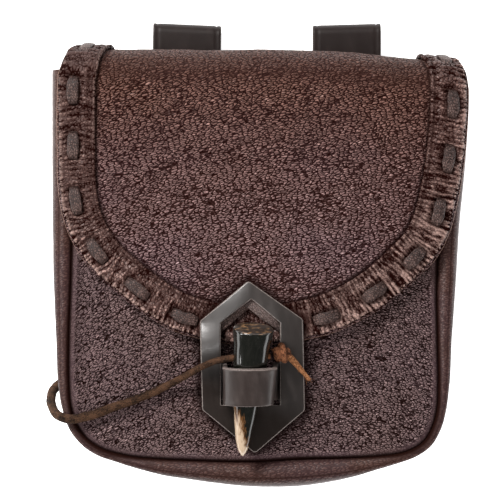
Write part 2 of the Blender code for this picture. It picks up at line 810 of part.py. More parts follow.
def strip_offsets(path, thick):
    """Mitred offsets of half a thickness on both sides of a path of (length, lift)."""
    path = np.asarray(path, float)
    step = np.diff(path, axis=0)
    step /= np.linalg.norm(step, axis=1)[:, None]
    flat = np.column_stack([-step[:, 1], step[:, 0]])
    before = np.vstack([flat[:1], flat])
    after = np.vstack([flat, flat[-1:]])
    mitre = before + after
    mitre /= (mitre * after).sum(1)[:, None]
    return path + mitre * thick / 2, path - mitre * thick / 2


def strip_solid(name, rings, material, collection):
    """Closed bar with four corners in each ring."""
    count = len(rings)
    faces = grid_faces(count, 4, wrap=True)
    faces += [(3, 2, 1, 0), tuple(4 * (count - 1) + k for k in range(4))]
    made = add_object(name, rings, faces, material, collection)
    work = bmesh.new()
    work.from_mesh(made.data)
    bmesh.ops.recalc_face_normals(work, faces=work.faces)
    work.to_mesh(made.data)
    work.free()
    return made


def make_lace(side, material, collection):
    """One thong, woven through the slots of its side of the flap."""
    right = side == "right"
    line, run = lace_line()
    under = -LACE_UNDER_GAP - LACE_THICK / 2
    over = BORDER_TOP + LACE_OVER_GAP + LACE_THICK / 2
    half = (STITCH_LENGTH - LACE_THICK) / 2
    between = LACE_PITCH - 2 * half
    path = []
    for k in range(STITCHES):
        centre = LACE_START + LACE_PITCH * k
        path += [
            (centre - half - between / 3, under),
            (centre - half, under),
            (centre - half, over),
            (centre - half / 3, over + STITCH_ARCH),
            (centre + half / 3, over + STITCH_ARCH),
            (centre + half, over),
            (centre + half, under),
            (centre + half + between / 3, under)]
    upper, lower = strip_offsets(path, LACE_THICK)
    rings = []
    for layer, sign in ((upper, 1), (upper, -1), (lower, -1), (lower, 1)):
        place = run[-1] - layer[:, 0] if right else layer[:, 0]
        normal = outward(line)
        spots = [np.interp(place, run, column) for column in (*line.T, *normal.T)]
        x = spots[0] + sign * LACE_WIDTH / 2 * spots[2]
        s = spots[1] + sign * LACE_WIDTH / 2 * spots[3]
        rings.append(on_flap(x, s, layer[:, 1]))
    rings = np.stack(rings, axis=1)
    strip_solid("lace_" + side, rings, material, collection)


def border_surface(x, y):
    """Height of the border's outer face where the clasp lies."""
    return flap_under(x, y) + BORDER_TOP


def plate_under(x, y):
    """Height of the clasp plate's underside, over the flap and then down to the front."""
    point_y = PLATE_TOP_Y - PLATE_LENGTH
    rest = np.interp(
        y, [point_y, KEEPER_END_Y, FLAP_END_Y - PLATE_STEP_OFF],
        [PLATE_POINT_REST, PLATE_LOWER_REST, FLAP_REST + PLATE_LIFT])
    return front_form(x, y) + rest


def rounded(corners, radius, arc_steps=2, side_steps=3):
    """Closed outline with its corners rounded and each side split evenly."""
    corners = np.asarray(corners, float)
    count = len(corners)
    arcs = []
    for k in range(count):
        corner = corners[k]
        back = corners[k - 1] - corner
        ahead = corners[(k + 1) % count] - corner
        back /= np.linalg.norm(back)
        ahead /= np.linalg.norm(ahead)
        spread = math.acos(np.clip(back @ ahead, -1, 1))
        reach = min(radius / math.tan(spread / 2), radius * 2)
        start, end = corner + back * reach, corner + ahead * reach
        t = np.linspace(0, 1, arc_steps + 1)[:, None]
        arcs.append((1 - t)**2 * start + 2 * t * (1 - t) * corner + t**2 * end)
    outline = []
    for k in range(count):
        following = arcs[(k + 1) % count][0]
        t = np.linspace(0, 1, side_steps + 1)[1:-1, None]
        outline += [arcs[k], arcs[k][-1] + t * (following - arcs[k][-1])]
    return np.vstack(outline)


def make_plate(material, collection):
    """Six-sided plate with a window for the keeper loop."""
    centre = np.array([PLATE_CENTRE_X, PLATE_TOP_Y])
    scale = np.array([PLATE_WIDTH / 2, -PLATE_LENGTH])
    outer = centre + np.array(PLATE_ROWS) * scale
    left, right = KEEPER_X - WINDOW_HALF, KEEPER_X + WINDOW_HALF
    inner = [
        (KEEPER_X + WINDOW_APEX_SHIFT, WINDOW_APEX_Y), (left, WINDOW_SHOULDER_Y),
        (left, WINDOW_FOOT_Y), (KEEPER_X, WINDOW_FOOT_Y), (right, WINDOW_FOOT_Y),
        (right, WINDOW_SHOULDER_Y)]
    outside = rounded(outer, PLATE_CORNER)
    inside = rounded(inner, WINDOW_CORNER)
    shares = np.array([0.0, 0.5, 1.0])[:, None, None]
    plan = outside * (1 - shares) + inside * shares
    x, y = plan[..., 0], plan[..., 1]
    points = np.stack([x, y, plate_under(x, y) + PLATE_WALL], -1)
    faces = grid_faces(3, len(outside), wrap=True)
    made = add_object("clasp_plate", points, faces, material, collection)
    make_wall(made, PLATE_WALL, (0, 0, 1))


def make_ties(material, collection):
    """Two short thongs that cross in the plate's window, on the border."""
    drop = WINDOW_APEX_Y - WINDOW_SHOULDER_Y
    for side, x0, y0, x1, y1 in TIE_ROWS:
        start = np.array([KEEPER_X + x0 * WINDOW_HALF, WINDOW_APEX_Y - y0 * drop])
        end = np.array([KEEPER_X + x1 * WINDOW_HALF, WINDOW_APEX_Y - y1 * drop])
        share = np.array([0.0, 0.25, 0.5, 0.75, 1.0])
        lift = (LACE_THICK + GAP) * ease(share / 0.5) * (side == "right")
        plan = start + share[:, None] * (end - start)
        along = (end - start) / np.linalg.norm(end - start)
        across = np.array([-along[1], along[0]]) * LACE_WIDTH / 2
        rings = []
        for sign, level in ((1, 1), (-1, 1), (-1, 0), (1, 0)):
            spot = plan + sign * across
            height = border_surface(spot[:, 0], spot[:, 1]) + GAP
            height = height + LACE_THICK * level + lift
            rings.append(np.column_stack([spot, height]))
        strip_solid("tie_" + side, np.stack(rings, axis=1), material, collection)


def horn_axis():
    """Points on the horn's axis and its radii, from the cut end to the tip.

    It lies as low as the plate lets it. Its cut end, the first two rows, is over
    the plate's window, so it isn't counted.
    """
    along, radius, shift = np.array(HORN_ROWS).T
    tilt = math.radians(HORN_TILT)
    y = HORN_TOP_Y - along * HORN_LENGTH * math.cos(tilt)
    x = HORN_TOP_X + shift * HORN_LENGTH
    radii = radius * HORN_RADIUS
    under = plate_under(x, y) + PLATE_WALL + GAP + radii / math.cos(tilt)
    slope = -along * HORN_LENGTH * math.sin(tilt)
    start = np.max(under[2:] - slope[2:])
    return np.column_stack([x, y, start + slope]), radii


def make_horn(material, collection, cutters):
    """Horn peg with a bore across it for the cord."""
    axis, radii = horn_axis()
    solid = as_mesh(tube("horn_toggle", axis, radii, 6, material, collection), collection)
    inside = [p for p in CORD_ROUTE if abs(p[0] - HORN_TOP_X) < HORN_RADIUS]
    middle = Vector(np.mean(inside, axis=0))
    direction = Vector(inside[-1]) - Vector(inside[0])
    turn = direction.to_track_quat("Z", "Y").to_matrix().to_4x4()
    radius = (CORD_RADIUS + BORE_CLEARANCE) * MM
    work = bmesh.new()
    bmesh.ops.create_cone(
        work, cap_ends=True, segments=BORE_SIDES, radius1=radius, radius2=radius,
        depth=4 * HORN_RADIUS * MM, matrix=Matrix.Translation(middle * MM) @ turn)
    mesh = bpy.data.meshes.new("horn_bore")
    work.to_mesh(mesh)
    work.free()
    make_cut(solid, make_cutter("horn_bore", mesh, cutters))


def make_keeper(material, collection):
    """Leather loop over the horn, its feet flat on the front under the plate."""
    axis, radii = horn_axis()
    rims = []
    turns = np.linspace(0.0, math.pi, KEEPER_ARCH_STEPS + 1)
    for sign, width in ((1, KEEPER_WIDTH), (-1, KEEPER_LOWER_WIDTH)):
        y = KEEPER_Y + sign * KEEPER_BREADTH / 2
        top_y = y - KEEPER_LEAN
        radius = np.interp(-top_y, -axis[:, 1], radii)
        height = np.interp(-top_y, -axis[:, 1], axis[:, 2])
        top = height + radius / math.cos(math.radians(HORN_TILT)) + KEEPER_OVER_GAP + KEEPER_WALL
        half = width / 2
        bend = half + KEEPER_WALL / 3
        x = [-half - KEEPER_FOOT, -bend, -half, *(-half * np.cos(turns))]
        x = np.array([*x, half, bend, half + KEEPER_FOOT])
        centre = (KEEPER_X + np.interp(-top_y, -axis[:, 1], axis[:, 0])) / 2
        foot = front_surface(centre + x, np.full_like(x, y)) + GAP + KEEPER_WALL
        spring = top - half * KEEPER_ARCH
        z = foot.copy()
        z[[2, -3]] += KEEPER_WALL
        z[3:-3] = spring + (top - spring) * np.sin(turns)
        lean = KEEPER_LEAN * np.clip((z - foot) / (top - foot), 0, 1)
        rims.append(np.column_stack([centre + x, y - lean, z]))
    points = np.stack(rims, axis=1)
    faces = grid_faces(len(points), 2)
    made = add_object("keeper_loop", points, faces, material, collection)
    make_wall(made, KEEPER_WALL, (0, 0, 1))


def make_belt_loops(material, collection):
    """Straps folded into loops behind the pouch, open at both sides for a belt."""
    height = 2 * STRAP_WALL + BELT_GAP
    bend_y = LOOP_TOP_Y - height / 2
    turns = np.linspace(0.0, math.pi, LOOP_TURNS + 1)
    path = [(TAB_END_Y, 0.0), (TAB_TOP_Y, 0.0)]
    path += [(bend_y + height / 2 * math.sin(t), height / 2 * (1 - math.cos(t))) for t in turns]
    path += [((bend_y + LOOP_FRONT_Y) / 2, height), (LOOP_FRONT_Y, height)]
    path = np.array(path)
    for name, centre, lean, slant in LOOP_ROWS:
        share = np.clip((path[:, 0] - LOOP_FRONT_Y) / (LOOP_TOP_Y - LOOP_FRONT_Y), 0, 1)
        rows = []
        for sign in (-1, 1):
            x = centre + sign * STRAP_WIDTH / 2 + lean * share
            y = path[:, 0] + sign * slant / 2 * share
            rows.append(np.column_stack([x, y, path[:, 1]]))
        points = np.stack(rows, axis=1)
        made = add_object(name, points, grid_faces(len(points), 2), material, collection)
        make_wall(made, STRAP_WALL, (0, 0, -1))


def make_cord(material, collection):
    """The cord as one tube, and its knot with the tail as another."""
    path = smooth_curve(CORD_ROUTE, 900)
    step = np.linalg.norm(np.diff(path, axis=0), axis=1)
    run = np.concatenate([[0.0], np.cumsum(step)])
    count = int(run[-1] / (CORD_STEP * CORD_DIAMETER))
    at = np.linspace(0, run[-1], count + 1)
    route = np.column_stack([np.interp(at, run, column) for column in path.T])
    tube("toggle_cord", route, [CORD_RADIUS] * len(route), 2, material, collection)
    radii = [share * KNOT_RADIUS for share in KNOT_SHARES]
    radii += [share * TAIL_RADIUS for share in TAIL_SHARES]
    tube("cord_knot", KNOT_ROUTE, radii, 4, material, collection)


def build():
    """Make every piece of the pouch."""
    clear_scene()
    pouch = make_collection("belt_pouch")
    cutters = make_collection("belt_pouch_cutters")
    leather = make_material("grained_leather", LEATHER, 0.55)
    border = make_material("border_leather", BORDER_LEATHER, 0.5)
    lace = make_material("lace_leather", LACE_LEATHER, 0.5)
    black = make_material("smooth_black_leather", BLACK_LEATHER, 0.35)
    horn = make_material("polished_horn", HORN, 0.12)
    suede = make_material("suede_cord", SUEDE, 0.85)
    slots = make_slots(cutters)
    make_panel("front_panel", FRONT_WALL, front_surface, front_roll, (0, 0, 1), leather, pouch)
    make_panel("back_panel", BACK_WALL, back_surface, back_roll, (0, 0, -1), leather, pouch)
    make_gusset(leather, pouch)
    make_flap(slots, leather, pouch)
    make_border(slots, border, pouch)
    for side in ("left", "right"):
        make_lace(side, lace, pouch)
    make_ties(lace, pouch)
    make_plate(black, pouch)
    make_horn(horn, pouch, cutters)
    make_keeper(black, pouch)
    make_belt_loops(black, pouch)
    make_cord(suede, pouch)


build()
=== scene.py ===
"""Looks of the belt pouch: leather shells, laced flap, clasp, horn toggle and cord.

Shapes are worked out in millimetres in the frame's axes: X to the right of the
pouch as seen from its front, Y towards the belt loops and Z out of the front. They
repeat the formulas of the solids on finer grids, with the relief of real leather.
"""
import logging
import math
from dataclasses import dataclass
from enum import Enum
from functools import cached_property

import bpy
import numpy as np
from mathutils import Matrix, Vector


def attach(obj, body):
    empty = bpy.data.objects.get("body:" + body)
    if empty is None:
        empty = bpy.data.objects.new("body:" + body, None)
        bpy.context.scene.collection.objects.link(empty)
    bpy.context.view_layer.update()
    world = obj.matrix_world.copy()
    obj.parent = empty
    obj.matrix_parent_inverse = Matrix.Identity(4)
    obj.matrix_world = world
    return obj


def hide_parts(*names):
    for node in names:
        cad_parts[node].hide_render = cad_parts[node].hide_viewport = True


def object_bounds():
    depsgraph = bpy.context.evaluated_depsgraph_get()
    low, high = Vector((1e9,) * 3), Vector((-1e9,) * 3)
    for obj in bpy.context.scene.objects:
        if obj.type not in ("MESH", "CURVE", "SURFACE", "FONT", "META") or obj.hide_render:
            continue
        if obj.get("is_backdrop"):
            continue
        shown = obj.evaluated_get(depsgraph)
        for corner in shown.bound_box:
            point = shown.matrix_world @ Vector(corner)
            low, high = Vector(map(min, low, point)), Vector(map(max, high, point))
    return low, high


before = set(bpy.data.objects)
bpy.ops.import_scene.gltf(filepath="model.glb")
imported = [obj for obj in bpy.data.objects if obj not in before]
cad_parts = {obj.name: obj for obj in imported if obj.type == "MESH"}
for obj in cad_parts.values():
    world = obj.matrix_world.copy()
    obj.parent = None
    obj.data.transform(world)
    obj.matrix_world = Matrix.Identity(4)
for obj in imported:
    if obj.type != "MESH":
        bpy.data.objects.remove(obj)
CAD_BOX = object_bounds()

LOG = logging.getLogger("belt_pouch")
MM = 0.001
ROOT = "root"

Array = np.ndarray
Colour = tuple[float, float, float]
Triple = tuple[float, float, float]
Pair = tuple[float, float]
Piece = bpy.types.Object
Socket = bpy.types.NodeSocket

# The seam round the front, from the mouth's left end over the bottom to its right
# end: across is a share of the seam's half width, down of the body's height, bulge
# of the gusset's bulge.
SEAM_ROWS = [
    # across, down, bulge
    (-0.998, 0.048, 0.98),
    (-0.996, 0.296, 0.98),
    (-1.009, 0.548, 0.76),
    (-1.019, 0.681, 0.51),
    (-1.018, 0.762, 0.43),
    (-1.007, 0.819, 0.33),
    (-0.968, 0.869, 0.28),
    (-0.907, 0.901, 0.26),
    (-0.835, 0.920, 0.26),
    (-0.755, 0.931, 0.28),
    (-0.654, 0.939, 0.43),
    (-0.532, 0.943, 0.70),
    (-0.361, 0.946, 0.92),
    (-0.050, 0.948, 1.24),
    (0.203, 0.942, 1.36),
    (0.456, 0.940, 1.00),
    (0.637, 0.936, 0.54),
    (0.743, 0.930, 0.32),
    (0.810, 0.920, 0.28),
    (0.876, 0.899, 0.28),
    (0.919, 0.865, 0.30),
    (0.942, 0.826, 0.33),
    (0.948, 0.780, 0.43),
    (0.945, 0.681, 0.60),
    (0.940, 0.548, 0.88),
    (0.951, 0.388, 1.00),
    (0.983, 0.250, 1.00),
    (0.998, 0.112, 1.00),
    (0.996, 0.050, 0.98),
]

# The flap's edge below the fold line, left to right: shares of half the flap's width
# and of its drop.
FLAP_ROWS = [
    # across, down
    (-0.996, 0.000),
    (-1.000, 0.085),
    (-1.000, 0.271),
    (-0.995, 0.419),
    (-0.978, 0.508),
    (-0.932, 0.609),
    (-0.849, 0.709),
    (-0.717, 0.803),
    (-0.571, 0.887),
    (-0.450, 0.941),
    (-0.279, 0.980),
    (-0.040, 1.000),
    (0.203, 0.978),
    (0.330, 0.950),
    (0.437, 0.911),
    (0.583, 0.839),
    (0.749, 0.720),
    (0.846, 0.633),
    (0.900, 0.549),
    (0.943, 0.429),
    (0.973, 0.299),
    (0.992, 0.161),
    (1.000, 0.032),
    (1.000, 0.000),
]

# The flap's sides over the fold, as shares of half its width.
FOLD_ROWS = [
    # turn (0 at the front, 1 at the tail), left, right
    (0.00, -0.996, 1.000),
    (0.25, -0.968, 0.988),
    (0.50, -0.926, 0.950),
    (1.00, -0.905, 0.925),
]

# Soft hollows in the front panel: shares of the seam's half width, of the body's
# height and, for the depth, of the front's crown.
DENT_ROWS = [
    # across, down, size, depth
    (-0.70, 0.66, 0.22, 0.22),
    (-0.45, 0.80, 0.20, 0.12),
    (0.62, 0.70, 0.22, 0.20),
    (0.42, 0.85, 0.18, 0.12),
]

# The clasp plate's corners: shares of half its width and of its length.
PLATE_ROWS = [
    # across, down
    (-0.08, 0.000),
    (-1.00, 0.233),
    (-0.96, 0.746),
    (0.05, 1.000),
    (1.00, 0.750),
    (0.96, 0.222),
]
LEFT_SHOULDER = 1  # the row of the plate's upper left corner

# The short thongs under the plate: shares of the window's half width sideways and
# of its peak's height down from the apex.
TIE_ROWS = [
    # start across and up, end across and up
    (-1.22, 1.30, 0.16, -0.16),
    (1.24, 1.32, -0.20, -0.02),
]

# The horn from its cut end to its tip: along and shift, sideways in plan, are shares
# of its length, radius of its largest radius.
HORN_ROWS = [
    # along, radius, shift
    (0.000, 1.000, 0.000),
    (0.060, 0.970, -0.004),
    (0.130, 0.905, -0.010),
    (0.280, 0.840, -0.024),
    (0.450, 0.740, -0.040),
    (0.630, 0.610, -0.056),
    (0.790, 0.460, -0.071),
    (0.905, 0.330, -0.078),
    (0.965, 0.205, -0.080),
    (1.000, 0.060, -0.081),
]

# The cord's route from the back seam to the knot.
CORD_ROUTE = [
    (-83.6, -58.6, 8.6),
    (-87.6, -59.2, 8.0),
    (-91.4, -60.3, 9.4),
    (-94.4, -62.6, 14.0),
    (-95.6, -66.4, 22.5),
    (-94.4, -70.6, 32.5),
    (-91.0, -74.0, 41.5),
    (-85.6, -75.3, 46.4),
    (-77.4, -73.8, 47.6),
    (-66.6, -70.0, 48.0),
    (-52.2, -64.8, 49.2),
    (-39.6, -58.8, 50.6),
    (-32.4, -54.8, 54.6),
    (-26.6, -51.4, 58.7),
    (-20.7, -48.8, 61.6),
    (-15.6, -47.6, 64.1),
    (-11.6, -47.0, 65.2),
    (-4.0, -46.8, 65.5),
    (2.4, -46.5, 65.1),
    (4.3, -46.2, 64.8),
]

# The tail that leaves the knot.
TAIL_ROUTE = [
    (12.4, -46.4, 62.6),
    (14.2, -48.0, 61.6),
    (16.2, -50.2, 60.3),
    (18.6, -53.0, 58.9),
    (20.6, -55.4, 57.9),
    (22.0, -57.2, 57.2),
]


def ease(t: Array | float) -> Array:
    """Smooth step from 0 to 1: three squares less two cubes of the held share."""
    t = np.clip(t, 0.0, 1.0)
    return t * t * (3 - 2 * t)


def bell(distance: Array, width: float, power: float = 2.0) -> Array:
    """Rounded peak: e to the minus power of the distance over the width.

    Args:
        distance: Distance from the peak.
        width: Distance at which the peak has fallen to about a third.
        power: 2 for a soft peak, more for a flat top with steep sides.

    Returns:
        Values from 0 to 1.
    """
    return np.exp(-np.abs(distance / width) ** power)


def smooth_curve(rows: list | Array, samples: int) -> Array:
    """Dense curve through rows: a cubic from each to the next, knots by length.

    Args:
        rows: Points; the first three columns at most set the length.
        samples: Number of points of the curve.

    Returns:
        The curve, one row for each sample.
    """
    rows = np.asarray(rows, float)
    steps = np.linalg.norm(np.diff(rows[:, :3], axis=0), axis=1)
    knots = np.concatenate([[0.0], np.cumsum(steps)])
    slopes = np.gradient(rows, knots, axis=0)
    at = np.linspace(0.0, knots[-1], samples)
    index = np.clip(np.searchsorted(knots, at, side="right") - 1, 0, len(knots) - 2)
    width = (knots[index + 1] - knots[index])[:, None]
    t = (at - knots[index])[:, None] / width
    start = (2 * t**3 - 3 * t**2 + 1) * rows[index]
    leave = (t**3 - 2 * t**2 + t) * width * slopes[index]
    end = (3 * t**2 - 2 * t**3) * rows[index + 1]
    arrive = (t**3 - t**2) * width * slopes[index + 1]
    return start + leave + end + arrive


def run_of(curve: Array) -> Array:
    """Length along a curve at each of its points."""
    return np.concatenate([[0.0], np.cumsum(np.linalg.norm(np.diff(curve, axis=0), axis=1))])


def at_lengths(curve: Array, run: Array, at: Array) -> Array:
    """Points of a curve, given its run, at lengths along it, by linear steps."""
    return np.stack([np.interp(at, run, column) for column in curve.T], -1)


def resample(curve: Array, count: int, columns: int = 2) -> Array:
    """Points at even steps of the length.

    Args:
        curve: Dense curve.
        count: Number of steps.
        columns: How many columns, the first ones, set the length: two for a plan.

    Returns:
        count + 1 points.
    """
    run = run_of(curve[:, :columns])
    return at_lengths(curve, run, np.linspace(0.0, run[-1], count + 1))


def unit(vectors: Array) -> Array:
    """Vectors of length one in the same directions."""
    return vectors / np.linalg.norm(vectors, axis=-1, keepdims=True)


def uv_of(along: Array, across: Array) -> Array:
    """UV map in metres from two lengths in millimetres on one grid."""
    return np.stack(np.broadcast_arrays(along, across), -1) * MM


def rings_round(path: Array, size: Array, angle: Array, first: Array, second: Array) -> Array:
    """Rings round a path: size times cosine and sine of the angle along two axes.

    Args:
        path: Middle of each ring.
        size: Radius by ring and angle.
        angle: Angles round a ring.
        first: Unit axis of each ring at which the angle is zero.
        second: Unit axis of each ring at which it is a quarter turn.

    Returns:
        Points by ring and angle.
    """
    cosine, sine = np.cos(angle)[None, :, None], np.sin(angle)[None, :, None]
    return path[:, None] + size[..., None] * (cosine * first[:, None] + sine * second[:, None])


def side_distances(corners: Array, x: Array, y: Array) -> Array:
    """Distances of places inside the sides of a convex outline, below zero outside.

    Args:
        corners: Corner points in order.
        x: Places across.
        y: Places up.

    Returns:
        One array for each side.
    """
    middle = corners.mean(axis=0)
    found = []
    for corner, side in zip(corners, unit(np.roll(corners, -1, axis=0) - corners)):
        inward = np.array([-side[1], side[0]])
        inward *= np.sign((middle - corner) @ inward)
        found.append((x - corner[0]) * inward[0] + (y - corner[1]) * inward[1])
    return np.array(found)


def cut_edges(count: int, across: int, turn: int, stations: int) -> Array:
    """Material slots of a strap's faces: 1 on its two cut edges, 0 elsewhere.

    Args:
        count: Points of the strap's section, from rounded_section.
        across: Steps across each face.
        turn: Steps round each edge.
        stations: Rows of faces along the strap.

    Returns:
        Slot numbers.
    """
    number = np.arange(count)
    cut = (number >= across) & (number < across + turn) | (number >= count - turn)
    return np.tile(cut.astype(np.int32), stations)


def outward(curve: Array) -> Array:
    """Unit normals in plan to the right of a curve's direction, which is its outside."""
    along = unit(np.gradient(curve[:, :2], axis=0))
    return np.column_stack([along[:, 1], -along[:, 0]])


def rounded_corners(path: Array, turns: int) -> Array:
    """Path with its corners cut: each turn replaces a point by two at the quarters.

    Args:
        path: Corner points.
        turns: Number of times that the corners are cut.

    Returns:
        The smoother path, with the same two ends.
    """
    for _ in range(turns):
        ahead = path[:-1] * 0.75 + path[1:] * 0.25
        behind = path[:-1] * 0.25 + path[1:] * 0.75
        cut = np.stack([ahead, behind], axis=1).reshape(-1, path.shape[1])
        path = np.vstack([path[:1], cut, path[-1:]])
    return path


def filled(edge: Array, rows: int) -> Array:
    """Grid of plan points inside an edge: each side's bend fades to the other's.

    Args:
        edge: Points down the left, along the bottom and up the right; the top is
            straight.
        rows: Steps down each side.

    Returns:
        Points by row and column.
    """
    left, right = edge[:rows + 1], edge[len(edge) - 1 - rows:][::-1]
    bottom = edge[rows:len(edge) - rows]
    down = np.linspace(0.0, 1.0, len(left))[:, None, None]
    along = np.linspace(0.0, 1.0, len(bottom))[None, :, None]
    top = np.linspace(left[0], right[0], len(bottom))
    sides = (1 - along) * left[:, None] + along * right[:, None]
    ends = (1 - down) * top[None] + down * bottom[None]
    upper = (1 - along) * top[0] + along * top[-1]
    lower = (1 - along) * bottom[0] + along * bottom[-1]
    return sides + ends - (1 - down) * upper - down * lower


def grid_faces(rows: int, cols: int, wrap: bool = False) -> Array:
    """Quads of a grid of points numbered row by row.

    Args:
        rows: Number of rows.
        cols: Number of columns.
        wrap: True where the last column meets the first.

    Returns:
        Four corner numbers for each quad.
    """
    r = np.arange(rows - 1)[:, None] * cols
    c = np.arange(cols if wrap else cols - 1)[None]
    after = (c + 1) % cols
    return np.stack([r + c, r + after, r + cols + after, r + cols + c], -1).reshape(-1, 4)


def rounded_section(width: float, thick: float, edge: float, across: int, turn: int) -> Array:
    """Closed outline of a strap's section, its two edges turned by half an ellipse.

    Args:
        width: Whole width.
        thick: Thickness.
        edge: How far each rounded edge reaches inwards.
        across: Steps across each face.
        turn: Steps round each edge.

    Returns:
        Points (side, level), side from -width/2 to width/2 and level from 0 at the
        underside to thick at the top, from the top's first edge round to the start.
    """
    side = np.linspace(-1.0, 1.0, across + 1) * (width / 2 - edge)
    angle = np.linspace(0.0, math.pi, turn + 1)[1:-1]
    round_side = width / 2 - edge + edge * np.sin(angle)
    round_level = thick / 2 * (1 + np.cos(angle))
    top = np.column_stack([side, np.full_like(side, thick)])
    right = np.column_stack([round_side, round_level])
    bottom = np.column_stack([side[::-1], np.zeros_like(side)])
    left = np.column_stack([-round_side, thick - round_level])
    return np.vstack([top, right, bottom, left])


@dataclass(frozen=True)
class RandomField:
    """Smooth random field: seeded values on a repeating lattice, eased in between."""

    seed: int
    cells: int = 128

    @cached_property
    def lattice(self) -> Array:
        """Values from -1 to 1 at the lattice points."""
        return np.random.default_rng(self.seed).uniform(-1.0, 1.0, (self.cells, self.cells))

    def at(self, u: Array, v: Array) -> Array:
        """Blend of the four nearest lattice values.

        Args:
            u: First coordinate, in lattice steps.
            v: Second coordinate, in lattice steps.

        Returns:
            Values from -1 to 1.
        """
        u, v = np.broadcast_arrays(u, v)
        low_u, low_v = np.floor(u), np.floor(v)
        share_u, share_v = ease(u - low_u), ease(v - low_v)
        i, j = low_u.astype(int) % self.cells, low_v.astype(int) % self.cells
        i_next, j_next = (i + 1) % self.cells, (j + 1) % self.cells
        first = self.lattice[i, j] * (1 - share_u) + self.lattice[i_next, j] * share_u
        second = self.lattice[i, j_next] * (1 - share_u) + self.lattice[i_next, j_next] * share_u
        return first * (1 - share_v) + second * share_v

    def folds(self, u: Array, v: Array) -> Array:
        """Sharp creases between round swells: one less twice the field's size."""
        return 1.0 - 2.0 * np.abs(self.at(u, v))


@dataclass(frozen=True)
class Unevenness:
    """One layer of a surface's relief: a random field of its own, with its size.

    The cell is the lattice step along both coordinates, in their unit, and start the
    place in the lattice at which the coordinates are zero.
    """

    seed: int
    height: float
    cell: Pair
    start: float | Pair = 0.0
    folded: bool = False

    def over(self, x: Array, y: Array) -> Array:
        """Heights: the field, plain or in sharp folds, times the height.

        Args:
            x: First coordinate.
            y: Second coordinate.

        Returns:
            Heights at the places.
        """
        field = RandomField(self.seed)
        first, second = np.broadcast_to(self.start, 2)
        draw = field.folds if self.folded else field.at
        return self.height * draw(x / self.cell[0] + first, y / self.cell[1] + second)


@dataclass(frozen=True)
class Shape:
    """One closed surface, ready to be made an object."""

    points: Array
    faces: Array
    caps: tuple[tuple[int, ...], ...] = ()
    uv: Array | None = None
    marks: tuple[tuple[str, Array], ...] = ()
    slots: Array | None = None

    def outwards(self) -> "Shape":
        """The same surface with its faces turned outwards.

        The volume is a sixth of the sum, over the quads' triangles, of each corner
        times the cross product of the other two; it is below zero inside out.

        Returns:
            The shape, itself where it is the right way round.
        """
        p = self.points.reshape(-1, 3)
        a, b, c, d = (p[self.faces[:, k]] for k in range(4))
        volume = (a * (np.cross(b, c) + np.cross(c, d))).sum()
        if volume >= 0:
            return self
        turned = tuple(cap[::-1] for cap in self.caps)
        return Shape(self.points, self.faces[:, ::-1], turned, self.uv, self.marks, self.slots)

    def build(self, name: str, finishes: list, node: str, slot: str, wall: float = 0.0) -> Piece:
        """Mesh object at the origin that rides on the pouch in place of a solid.

        Args:
            name: Piece name.
            finishes: Finish of each material slot.
            node: Solid that it stands for.
            slot: That solid's material slot; not used.
            wall: Thickness of an open sheet whose faces already point outwards. It is
                made inwards, with its rim in the second material slot.

        Returns:
            The object.
        """
        shape = self if wall else self.outwards()
        points = np.reshape(shape.points, (-1, 3)) * MM
        mesh = bpy.data.meshes.new(name)
        faces = shape.faces.tolist() + [list(cap) for cap in shape.caps]
        mesh.from_pydata(points.tolist(), [], faces)
        mesh.polygons.foreach_set("use_smooth", np.ones(len(faces), bool))
        for finish in finishes:
            mesh.materials.append(finish.material())
        if shape.slots is not None:
            numbers = np.zeros(len(faces), np.int32)
            numbers[:len(shape.slots)] = shape.slots
            mesh.polygons.foreach_set("material_index", numbers)
        if shape.uv is not None:
            corners = np.zeros(len(mesh.loops), np.int32)
            mesh.loops.foreach_get("vertex_index", corners)
            layer = mesh.uv_layers.new(name="UVMap")
            layer.data.foreach_set("uv", np.reshape(shape.uv, (-1, 2))[corners].ravel())
        for mark, values in shape.marks:
            made = mesh.attributes.new(mark, "FLOAT", "POINT")
            made.data.foreach_set("value", np.ravel(values).astype(np.float32))
        mesh.update()
        piece = bpy.data.objects.new(name, mesh)
        bpy.context.scene.collection.objects.link(piece)
        if wall:
            solid = piece.modifiers.new("wall", "SOLIDIFY")
            solid.thickness = wall * MM
            solid.offset = -1.0
            solid.material_offset_rim = 1
        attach(piece, ROOT)
        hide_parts(node)
        LOG.info("%s: %d points, %d faces", name, len(points), len(faces))
        return piece


def swept(rings: Array, closed_path: bool = False, **extra: object) -> Shape:
    """Surface through closed rings, with flat ends unless the path closes.

    Args:
        rings: Points by station and place round the ring.
        closed_path: True where the last station meets the first.
        **extra: uv, marks and slots of the shape.

    Returns:
        The shape.
    """
    stations, around = rings.shape[:2]
    if closed_path:
        faces = grid_faces(stations + 1, around, wrap=True) % (stations * around)
        return Shape(rings, faces, **extra)
    last = (stations - 1) * around
    caps = (tuple(range(around - 1, -1, -1)), tuple(range(last, last + around)))
    return Shape(rings, grid_faces(stations, around, wrap=True), caps, **extra)


